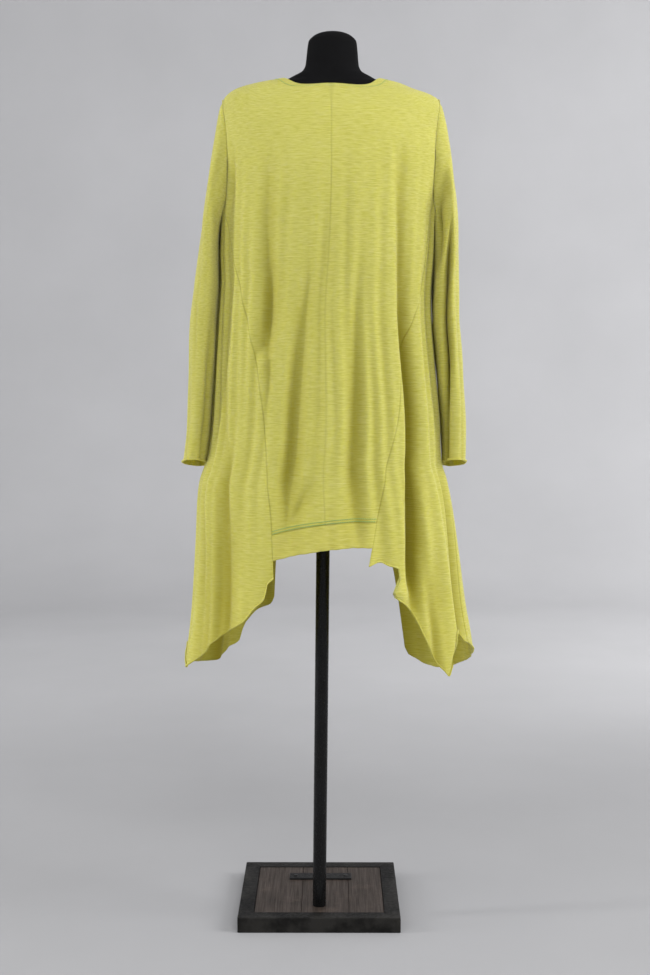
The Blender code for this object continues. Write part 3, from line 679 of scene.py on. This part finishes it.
def curled(points, normals, radius, turn, inward):
    """Rows that continue the last row in a curl, outward or inward."""
    last = points[-1]
    down = unit(last - points[-4])
    out = -normals[-1] if inward else normals[-1]
    out = unit(out - down * np.sum(out * down, axis=-1, keepdims=True))
    place = run_lengths(points, 1)[-1]
    size = np.ones_like(place)
    for share, rate, phase in CURL_WAVES:
        size += share * np.sin(place * rate + phase)
    size *= radius
    rows = []
    for step in range(1, CURL_ROWS + 1):
        phase = math.radians(turn) * step / CURL_ROWS
        row = last + down * (size * math.sin(phase))[:, None]
        rows.append(row + out * (size * (1.0 - math.cos(phase)))[:, None])
    return np.concatenate((points, np.array(rows)))


def cloth_uv(points, angles, heights):
    """Places on the cloth in metres: across by angle, down by height or by length on the yoke."""
    down = run_lengths(points, 0)
    over = np.maximum(heights, YOKE_UV_Z).min(axis=0)
    yoke = np.argmax(heights < YOKE_UV_Z, axis=0)
    base = np.take_along_axis(down, yoke[None, :], axis=0)
    v = np.where(heights < YOKE_UV_Z, heights, over[None, :] + base - down)
    return np.stack((np.radians(angles) * UV_RADIUS, v), axis=-1)


def grid_mesh(name, points, uv, closed=False, depth=None):
    """A mesh through rows of points, top row first and turning counter-clockwise, with a UV map.

    The depth of its folds, if given, is kept for the material as 0 to 1, to paint shade into the
    folds.
    """
    rows, across = points.shape[:2]
    count = across if closed else across - 1
    j, i = np.meshgrid(np.arange(rows - 1), np.arange(count), indexing="ij")
    near, far = j * across + i, j * across + (i + 1) % across
    faces = np.stack((near, near + across, far + across, far), axis=-1).reshape(-1, 4)
    mesh = bpy.data.meshes.new(name)
    mesh.from_pydata(points.reshape(-1, 3).tolist(), [], faces.tolist())
    layer = mesh.uv_layers.new(name="UVMap")
    corners = uv.reshape(-1, 2)[faces.reshape(-1)].reshape(-1, 4, 2)
    if closed:
        wrap = (i == across - 1).reshape(-1)
        corners[wrap, 2:, 0] += uv[0, -1, 0] - 2 * uv[0, 0, 0] + uv[0, 1, 0]
    layer.data.foreach_set("uv", corners.reshape(-1).astype(np.float32))
    if depth is not None:
        # Painted shade: the fold depth becomes the fold attribute that darkens the cloth's colour
        held = np.concatenate((depth, np.repeat(depth[-1:], rows - len(depth), axis=0)))
        share = np.clip(held / PAINTED_SHADE_FULL_DEPTH, 0.0, 1.0).astype(np.float32)
        mesh.attributes.new("fold", "FLOAT", "POINT").data.foreach_set("value", share.reshape(-1))
    mesh.shade_smooth()
    sharpen_border(mesh, rows, across, closed)
    return mesh


def sharpen_border(mesh, rows, across, closed):
    """Marks a grid's border edges as sharp, so that its cut edges don't shade its face."""
    ends = np.empty(len(mesh.edges) * 2, dtype=np.int64)
    mesh.edges.foreach_get("vertices", ends)
    row, column = np.divmod(ends.reshape(-1, 2), across)
    border = (row[:, 0] == row[:, 1]) & np.isin(row[:, 0], (0, rows - 1))
    if not closed:
        border |= (column[:, 0] == column[:, 1]) & np.isin(column[:, 0], (0, across - 1))
    mesh.attributes.new("sharp_edge", "BOOLEAN", "EDGE").data.foreach_set("value", border)


def add_object(name, data):
    made = bpy.data.objects.new(name, data)
    bpy.context.scene.collection.objects.link(made)
    return made


def add_piece(name, mesh, look, slot, *nodes):
    """Puts a mesh in the scene as a piece that rides on the part and stands for its nodes."""
    made = add_object(name, mesh)
    made.data.materials.append(look)
    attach(made, "root")
    if nodes:
        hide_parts(*nodes)
    return made


def add_cloth(name, points, uv, depth, look, node, thickness=THICKNESS, closed=False):
    made = add_piece(name, grid_mesh(name, points, uv, closed, depth), look, "jersey", node)
    solidify = made.modifiers.new("Thickness", "SOLIDIFY")
    solidify.thickness = thickness
    solidify.offset = -1.0
    area = sum(polygon.area for polygon in made.data.polygons)
    width = float(run_lengths(points, 1)[:, -1].max())
    length = float(run_lengths(points, 0)[-1].max())
    if closed:
        width = float(np.linalg.norm(np.roll(points, 1, axis=1) - points, axis=-1).sum(1).max())
    area = min(max(area, LEAST_AREA * width * length), width * length)


def extended(uv):
    """The UV rows with more for the curl."""
    rows = [uv[-1] - np.array((0.0, CURL_UV_STEP * (i + 1))) for i in range(CURL_ROWS)]
    return np.concatenate((uv, np.array(rows)))


def body_panel(name, node, grid, seams, look, curl=None, thickness=THICKNESS, turned=False):
    """A panel of the body from its grid, with pressed seams and a curled or folded hem."""
    angles, heights = grid
    points, normals = body_point(angles, heights), body_normal(angles, heights)
    uv = cloth_uv(points, angles, heights)
    distance = edge_distances(points)
    # Fold and seam depths, kept for the painted shade of the cloth
    depth = fold_depth(angles, heights) + seam_shade(distance, seams)
    points = pressed(points, normals, distance, seams, turned)
    if curl:
        points = curled(points, normals, *CURLS[curl])
        uv = extended(uv)
    add_cloth(name, points, uv, depth, look, node, thickness)


def left_to_right(grid):
    """A left panel's grid turned so that its columns run counter-clockwise from above."""
    angles, heights = grid
    return angles[:, ::-1], heights[:, ::-1]


def sleeve_section(side, turn, z):
    """Points on the hanging sleeve: turn is 0 on its far side and 90 at the back."""
    near, far, depth = (smooth(SLEEVE, column, z) for column in (1, 2, 3))
    if side < 0:
        near = near + LEFT_SHIFT[2] * np.exp(-(((z - LEFT_SHIFT[0]) / LEFT_SHIFT[1]) ** 2))
    across, along = cos_of(turn), sin_of(turn)
    half = (far - near) / 2
    reach = (near + far) / 2 + half * np.sign(across) * np.abs(across) ** SLEEVE_POWER
    fold = folds_at(SLEEVE_FOLDS[side], turn, z)
    size, waves, slant, rate = SLEEVE_RIPPLE
    ridge = size * np.sin(np.radians(turn) * waves + z * slant) * np.sin(z * rate + side)
    x = smooth(BODY, 1, z) + side * (reach + ridge - across * fold)
    return np.stack((x, AXIS_Y - depth * along + along * fold, z), axis=-1)


def sleeve_points(side):
    """The sleeve's rows of points, from the armhole to the cuff, counter-clockwise from above."""
    around = np.linspace(0.0, 360.0, SLEEVE_COLUMNS, endpoint=False)
    if side > 0:
        around = around[::-1]
    turn = np.where(around <= 180.0, around, 360.0 - around)
    z, opening = armhole(turn)
    z = z + SLEEVE_LAP * cos_of(turn)
    opening = opening + SLEEVE_LAP_ANGLE * sin_of(turn)
    angle = side * np.where(around <= 180.0, 90.0 - opening, 90.0 + opening)
    base, normal = body_point(angle, z), body_normal(angle, z)
    start = base + normal * SLEEVE_LIFT
    section = sleeve_section(side, around, z)
    groove, distance, half = SLEEVE_GROOVE
    rows, depths = [], []
    for share in shares_of(*SLEEVE_ROWS) ** SLEEVE_CROWDING:
        level = mix(z, CUFF_Z, share)
        keep = 1.0 - ease((z - level) / SLEEVE_BLEND)
        row = sleeve_section(side, around, level) + (start - section) * keep[:, None]
        row -= normal * (groove * np.exp(-(((z - level - distance) / half) ** 2)))[:, None]
        drop = CUFF_FRONT_DROP * ease((CUFF_Z + CUFF_DROP_HEIGHT - level) / CUFF_DROP_HEIGHT)
        row[:, 2] -= drop * (0.5 - 0.5 * sin_of(around))
        rows.append(row)
        # Fold depths, kept for the painted shade of the cloth
        depths.append(folds_at(SLEEVE_FOLDS[side], around, level) * (1.0 - keep))
    return np.array(rows), np.array(depths)


def outward(points):
    """Normals of a closed stack of rows."""
    around = np.roll(points, -1, axis=1) - np.roll(points, 1, axis=1)
    down = np.gradient(points, axis=0)
    return unit(np.cross(down, around))


def make_sleeve(side, name, node, look):
    points, depth = sleeve_points(side)
    normals = outward(points)
    place = run_lengths(points, 1)
    uv = np.stack((place, points[..., 2]), axis=-1)
    points = curled(points, normals, *CURLS["raw"])
    add_cloth(name, points, extended(uv), depth, look, node, closed=True)


def along(line, place, at):
    """The point or direction at a distance along a line."""
    return np.array([np.interp(at, place, line[:, axis]) for axis in range(3)])


def join_rings(made, rings):
    """Faces between rings of corners, where a ring may be one corner repeated."""
    for first, second in zip(rings, rings[1:]):
        for a in range(len(first)):
            b = (a + 1) % len(first)
            made.faces.new(dict.fromkeys((first[a], first[b], second[b], second[a])))


def finished_mesh(name, made):
    mesh = bpy.data.meshes.new(name)
    made.to_mesh(mesh)
    made.free()
    mesh.shade_smooth()
    return mesh


def stitch_mesh(name, line, normals, stitch, gap, radius):
    """Raised stitches along a line of points on the cloth."""
    place = np.concatenate(([0.0], np.cumsum(np.linalg.norm(np.diff(line, axis=0), axis=1))))
    count = int(place[-1] / (stitch + gap))
    made = bmesh.new()
    profile = ((0.0, 0.15), (0.2, 0.85), (0.5, 1.0), (0.8, 0.85), (1.0, 0.15))
    sides, flatness, rise, near = 6, 0.7, 0.3, 0.001
    for k in range(count):
        rings = []
        for share, size in profile:
            at = k * (stitch + gap) + stitch * share
            point, out = along(line, place, at), unit(along(normals, place, at))
            ahead = along(line, place, at + near) - along(line, place, at - near)
            wide = unit(np.cross(out, ahead))
            ring = []
            for corner in range(sides):
                phase = 2 * math.pi * corner / sides
                offset = wide * math.cos(phase) + out * (math.sin(phase) * flatness + rise)
                ring.append(made.verts.new(point + offset * radius * size))
            rings.append(ring)
        join_rings(made, rings)
        made.faces.new(rings[0][::-1])
        made.faces.new(rings[-1])
    bmesh.ops.recalc_face_normals(made, faces=made.faces)
    return finished_mesh(name, made)


def line_on_body(angles, heights):
    """Points and normals along a line on the dress's body."""
    normals = body_normal(angles, heights)
    return body_point(angles, heights) + normals * STITCH_LIFT, normals


def band_stitches(look):
    """The twin needle lines above the hem band."""
    shares = np.linspace(-0.99, 0.99, 240)
    for word, rise in BAND_STITCH_RISE.items():
        z = band_height(BAND_TOP, shares) + rise
        name = f"band_stitches_{word}"
        mesh = stitch_mesh(name, *line_on_body(band_angles(shares, z), z), *BAND_STITCH)
        add_piece(name, mesh, look, "jersey")


def neck_stitches(look):
    """The needle line round the neckline."""
    shares = np.linspace(-1.0, 1.0, 200)
    for name, front in (("neck_stitches_back", False), ("neck_stitches_front", True)):
        angles, heights = [], []
        for share in shares:
            side = -1 if share < 0 else 1
            angle, z = shoulder_line(side, NECK_STITCH_PLACE, np.array([abs(share)]), front)
            angles.append(side * angle[0])
            heights.append(z[0])
        line = line_on_body(np.array(angles), np.array(heights))
        add_piece(name, stitch_mesh(name, *line, *NECK_STITCH), look, "jersey")


def make_dress(look, thread):
    for side, word in ((-1, "left"), (1, "right")):
        back, side_back = back_grid(side), side_back_grid(side)
        centre, slanting = ("last", "first") if side < 0 else ("first", "last")
        back_seams = {centre: CENTRE_SEAM, slanting: 1.0, "bottom": 1.0}
        side_seams = {"first": 1.0, "last": 1.0, "top": 1.0}
        if side < 0:
            back, side_back = left_to_right(back), left_to_right(side_back)
        body_panel(f"back_panel_{word}", f"back_{word}", back, back_seams, look, turned=True)
        side_name = f"side_back_panel_{word}"
        body_panel(side_name, f"side_back_{word}", side_back, side_seams, look, "raw")
        make_sleeve(side, f"sleeve_cloth_{word}", f"sleeve_{word}", look)
    body_panel("hem_band", "back_band", band_grid(), {"top": 1.0}, look, "folded", BAND_THICKNESS)
    front_seams = {"first": 1.0, "last": 1.0}
    body_panel("front_panel", "front", front_grid(), front_seams, look, "raw", turned=True)
    band_stitches(thread)
    neck_stitches(thread)


def make_form(look):
    heights = np.array([row[0] for row in FORM])
    place = np.linspace(0.0, 1.0, FORM_ROWS)
    z = np.interp(place, np.linspace(0.0, 1.0, len(heights)), heights)[:, None]
    angle = np.linspace(0.0, 360.0, FORM_COLUMNS, endpoint=False)[None, :]
    angle, z = np.broadcast_arrays(angle, z)
    points = section_point(FORM, angle, np.array(z))
    uv = np.stack((np.radians(angle) * FORM_UV_RADIUS, z), axis=-1)
    mesh = grid_mesh("form_body", points, uv, closed=True)
    cage = bmesh.new()
    cage.from_mesh(mesh)
    bmesh.ops.holes_fill(cage, edges=cage.edges, sides=FORM_COLUMNS)
    bmesh.ops.recalc_face_normals(cage, faces=cage.faces)
    cage.to_mesh(mesh)
    cage.free()
    mesh.shade_smooth()
    add_piece("form_body", mesh, look, "form_cover", "form_torso")


def scaled(colour, share):
    return tuple(part * share for part in colour)


class Nodes:
    """Short calls for building a material's nodes."""

    def __init__(self, name):
        self.made = bpy.data.materials.new(name)
        self.made.use_nodes = True
        self.tree = self.made.node_tree
        self.shader = self.tree.nodes["Principled BSDF"]

    def add(self, kind, **settings):
        node = self.tree.nodes.new(kind)
        for name, value in settings.items():
            setattr(node, name, value)
        return node

    def link(self, source, target):
        self.tree.links.new(source, target)

    def give(self, value, socket):
        self.link(value, self.shader.inputs[socket])

    def fill(self, node, **values):
        for name, value in values.items():
            node.inputs[name.replace("_", " ")].default_value = value

    def settings(self, **values):
        self.fill(self.shader, **values)

    def feed(self, socket, value):
        """Sets a socket to a number or a colour, or links a node to it."""
        if isinstance(value, float):
            socket.default_value = value
        elif isinstance(value, tuple):
            socket.default_value = (*value, 1.0)
        else:
            self.link(value, socket)

    def mapped(self, vector, scale):
        mapping = self.add("ShaderNodeMapping")
        self.fill(mapping, Scale=scale)
        self.link(vector, mapping.inputs["Vector"])
        return mapping.outputs["Vector"]

    def places(self, output, scale):
        return self.mapped(self.add("ShaderNodeTexCoord").outputs[output], scale)

    def clouds(self, scale, **looks):
        """Noise of one size in every direction."""
        return self.noise(self.places("Object", (scale, scale, scale)), **looks)

    def noise(self, vector, detail=2.0, roughness=0.5, distortion=0.0):
        node = self.add("ShaderNodeTexNoise")
        self.fill(node, Scale=1.0, Detail=detail, Roughness=roughness, Distortion=distortion)
        self.link(vector, node.inputs["Vector"])
        return node.outputs["Fac"]

    def ranged(self, value, low, high, to_low=0.0, to_high=1.0):
        node = self.add("ShaderNodeMapRange")
        self.fill(node, From_Min=low, From_Max=high, To_Min=to_low, To_Max=to_high)
        self.link(value, node.inputs["Value"])
        return node.outputs["Result"]

    def maths(self, operation, first, second):
        node = self.add("ShaderNodeMath", operation=operation)
        self.feed(node.inputs[0], first)
        self.feed(node.inputs[1], second)
        return node.outputs["Value"]

    def times(self, value, number):
        return self.maths("MULTIPLY", value, number)

    def blend(self, factor, first, second):
        node = self.add("ShaderNodeMix", data_type="RGBA")
        for place, value in ((0, factor), (6, first), (7, second)):
            self.feed(node.inputs[place], value)
        return node.outputs[2]

    def bump(self, height, distance):
        node = self.add("ShaderNodeBump")
        self.fill(node, Strength=1.0, Distance=distance)
        self.link(height, node.inputs["Height"])
        self.give(node.outputs["Normal"], "Normal")


def jersey_material():
    """Slub jersey: short uneven streaks across, fine knit ribs down, and painted shade in its folds
    and seams.
    """
    nodes = Nodes("lime_slub_jersey")
    streaks = nodes.noise(nodes.places("UV", (55.0, 440.0, 1.0)), detail=2.0, roughness=0.6)
    slubs = nodes.noise(nodes.places("UV", (22.0, 520.0, 1.0)), detail=1.0)
    clouds = nodes.noise(nodes.places("UV", (9.0, 14.0, 1.0)), detail=3.0)
    ribs = nodes.add("ShaderNodeTexWave", wave_type="BANDS", bands_direction="X")
    nodes.fill(ribs, Scale=1.0, Distortion=0.8)
    nodes.link(nodes.places("UV", (180.0, 30.0, 1.0)), ribs.inputs["Vector"])
    pale = nodes.ranged(streaks, 0.50, 0.72)
    dark = nodes.ranged(streaks, 0.50, 0.30)
    thick = nodes.ranged(slubs, 0.58, 0.74)
    colour = nodes.blend(nodes.times(dark, 0.50), LIME, LIME_DARK)
    colour = nodes.blend(nodes.times(pale, 0.42), colour, LIME_PALE)
    colour = nodes.blend(nodes.times(thick, 0.40), colour, LIME_PALE)
    cloudy = nodes.times(nodes.ranged(clouds, 0.3, 0.7), 0.16)
    colour = nodes.blend(cloudy, colour, LIME_DARK)
    # Painted shade: the colour darkens towards a deep olive where the folds and seams are deep
    fold = nodes.add("ShaderNodeAttribute", attribute_name="fold")
    colour = nodes.blend(nodes.times(fold.outputs["Fac"], 0.82), colour, LIME_PAINTED_SHADE)
    nodes.give(colour, "Base Color")
    height = nodes.maths("ADD", streaks, nodes.times(thick, 0.6))
    height = nodes.maths("ADD", height, nodes.times(ribs.outputs["Fac"], 0.35))
    nodes.bump(height, 0.00035)
    rough = nodes.ranged(streaks, 0.3, 0.7, 0.95, 0.85)
    nodes.give(rough, "Roughness")
    nodes.settings(Sheen_Weight=0.10, Sheen_Roughness=0.5, Specular_IOR_Level=0.15)
    nodes.settings(Subsurface_Weight=0.50, Subsurface_Radius=(1.0, 0.9, 0.15))
    nodes.settings(Subsurface_Scale=0.0060)
    return nodes.made


def thread_material():
    nodes = Nodes("green_thread")
    twist = nodes.clouds(2400.0, detail=1.0)
    colour = nodes.blend(twist, THREAD, scaled(THREAD, 0.7))
    nodes.give(colour, "Base Color")
    nodes.bump(twist, 0.0002)
    nodes.settings(Roughness=0.6, Specular_IOR_Level=0.3)
    return nodes.made


def form_material():
    nodes = Nodes("black_form_cover")
    knit = nodes.noise(nodes.places("UV", (700.0, 900.0, 1.0)), detail=2.0)
    clouds = nodes.clouds(18.0, detail=3.0)
    colour = nodes.blend(clouds, BLACK_CLOTH, scaled(BLACK_CLOTH, 1.7))
    nodes.give(colour, "Base Color")
    nodes.bump(knit, 0.0003)
    nodes.give(nodes.ranged(knit, 0.3, 0.7, 0.95, 0.8), "Roughness")
    nodes.settings(Specular_IOR_Level=0.08)
    return nodes.made


def painted_material(name, colour, roughness, spread=0.12, shine=0.3):
    """Black paint on steel, with dust, fine scratches and an uneven gloss."""
    nodes = Nodes(name)
    grain = nodes.noise(nodes.places("Object", (260.0, 260.0, 90.0)), detail=4.0)
    dust = nodes.noise(nodes.places("Object", (30.0, 30.0, 18.0)), detail=5.0, roughness=0.7)
    dusty = nodes.times(nodes.ranged(dust, 0.45, 0.8), 0.35)
    worn = nodes.blend(dusty, colour, tuple(part * 2.2 + 0.004 for part in colour))
    nodes.give(worn, "Base Color")
    rough = nodes.ranged(grain, 0.3, 0.7, roughness - spread, roughness + spread)
    nodes.give(rough, "Roughness")
    nodes.bump(grain, 0.0001)
    nodes.settings(Specular_IOR_Level=shine)
    return nodes.made


def iron_material():
    """Blackened iron, rubbed pale along its edges."""
    nodes = Nodes("blackened_iron")
    scale = nodes.clouds(140.0, detail=5.0, roughness=0.65)
    patches = nodes.clouds(22.0, detail=4.0, roughness=0.6)
    geometry = nodes.add("ShaderNodeNewGeometry")
    edge = nodes.ranged(geometry.outputs["Pointiness"], 0.50, 0.56)
    rub = nodes.times(edge, nodes.ranged(patches, 0.35, 0.6))
    colour = nodes.blend(nodes.ranged(patches, 0.3, 0.7), IRON, scaled(IRON, 1.8))
    colour = nodes.blend(nodes.times(rub, 0.6), colour, IRON_WORN)
    nodes.give(colour, "Base Color")
    nodes.give(nodes.ranged(scale, 0.3, 0.7, 0.38, 0.66), "Roughness")
    nodes.bump(scale, 0.0003)
    nodes.settings(Specular_IOR_Level=0.1)
    return nodes.made


def wood_material(name, shift):
    """Aged dark boards with the grain along Y."""
    nodes = Nodes(name)
    moved = nodes.add("ShaderNodeVectorMath", operation="ADD")
    moved.inputs[1].default_value = (shift, shift * 1.7, 0.0)
    nodes.link(nodes.add("ShaderNodeTexCoord").outputs["Object"], moved.inputs[0])
    fine = nodes.mapped(moved.outputs["Vector"], (320.0, 9.0, 200.0))
    coarse = nodes.mapped(moved.outputs["Vector"], (60.0, 5.0, 40.0))
    grain = nodes.noise(fine, detail=5.0, roughness=0.65, distortion=0.4)
    broad = nodes.noise(coarse, detail=3.0, distortion=0.8)
    wear = nodes.clouds(26.0, detail=5.0, roughness=0.7)
    colour = nodes.blend(nodes.ranged(grain, 0.3, 0.7), WOOD_DARK, WOOD_PALE)
    colour = nodes.blend(nodes.times(broad, 0.7), colour, WOOD_DARK)
    scuffed = nodes.times(nodes.ranged(wear, 0.55, 0.75), 0.4)
    colour = nodes.blend(scuffed, colour, scaled(WOOD_PALE, 1.6))
    nodes.give(colour, "Base Color")
    nodes.give(nodes.ranged(grain, 0.3, 0.7, 0.75, 0.5), "Roughness")
    nodes.bump(nodes.maths("ADD", grain, nodes.times(wear, 0.5)), 0.0006)
    nodes.settings(Specular_IOR_Level=0.35)
    return nodes.made


def studio_material():
    nodes = Nodes("pale_studio_paint")
    clouds = nodes.clouds(1.4, detail=5.0, roughness=0.55)
    mottled = nodes.ranged(clouds, 0.3, 0.7)
    darker = scaled(STUDIO_GREY, 0.93)
    nodes.give(nodes.blend(mottled, darker, STUDIO_GREY), "Base Color")
    nodes.settings(Roughness=0.95, Specular_IOR_Level=0.1)
    return nodes.made


def dress_the_stand(nodes):
    """Gives the rigid parts that are kept from the model their finishes."""
    looks = {
        "pole": painted_material("black_pole_paint", BLACK_STEEL, 0.26, 0.06, 0.20),
        "base_frame": iron_material(),
        "plank_left": wood_material("dark_board_left", 0.0),
        "plank_middle": wood_material("dark_board_middle", 0.37),
        "plank_right": wood_material("dark_board_right", 0.71),
        "bracket": painted_material("matt_black_iron", BLACK_STEEL, 0.6),
        "screw_left": painted_material("dark_screw", IRON, 0.4),
    }
    looks["screw_right"] = looks["screw_left"]
    for name, look in looks.items():
        nodes[name].data.materials.clear()
        nodes[name].data.materials.append(look)


def make_studio():
    """A round cove: a pale floor that sweeps up into a wall on every side."""
    radius, sweep, height = 5.2, 1.6, 4.2
    count, steps, drop = 96, 16, 0.0004
    profile = [(0.0, 0.0), (radius - sweep, 0.0)]
    for step in range(1, steps + 1):
        phase = math.pi / 2 * step / steps
        across = radius - sweep + sweep * math.sin(phase)
        profile.append((across, sweep * (1.0 - math.cos(phase))))
    profile.append((radius, height))
    made = bmesh.new()
    rings = []
    for across, z in profile:
        if across == 0.0:
            rings.append([made.verts.new((0.0, 0.0, z))] * count)
            continue
        ring = []
        for k in range(count):
            phase = 2 * math.pi * k / count
            ring.append(made.verts.new((across * math.cos(phase), across * math.sin(phase), z)))
        rings.append(ring)
    join_rings(made, rings[::-1])
    mesh = finished_mesh("studio_cove", made)
    mesh.materials.append(studio_material())
    cove = add_object("studio_cove", mesh)
    cove.location.z = -drop


def area_light(name, place, aim, size, power):
    light = bpy.data.lights.new(name, "AREA")
    light.shape = "RECTANGLE"
    light.size, light.size_y = size
    light.energy = power
    lamp = add_object(name, light)
    away = np.array(place) - np.array(aim)
    flat = math.hypot(away[0], away[1])
    lamp.location = place
    lamp.rotation_euler = (math.atan2(flat, away[2]), 0.0, math.atan2(away[0], -away[1]))


def make_lights():
    for light in LIGHTS:
        area_light(*light)
    world = bpy.data.worlds.new("soft_grey")
    world.use_nodes = True
    background = world.node_tree.nodes["Background"]
    background.inputs["Color"].default_value = (*WORLD_COLOUR, 1.0)
    background.inputs["Strength"].default_value = WORLD_STRENGTH
    bpy.context.scene.world = world


def make_camera():
    camera = bpy.data.cameras.new("camera")
    camera.lens = CAMERA_LENS
    made = add_object("camera", camera)
    made.location = CAMERA_PLACE
    made.rotation_euler = (math.pi / 2 - CAMERA_DOWN, 0.0, CAMERA_TURN)
    bpy.context.scene.camera = made


def main():
    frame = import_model()
    make_dress(jersey_material(), thread_material())
    make_form(form_material())
    dress_the_stand(frame["nodes"])
    make_studio()
    make_lights()
    make_camera()
    bpy.context.scene.view_settings.view_transform = "Standard"


main()
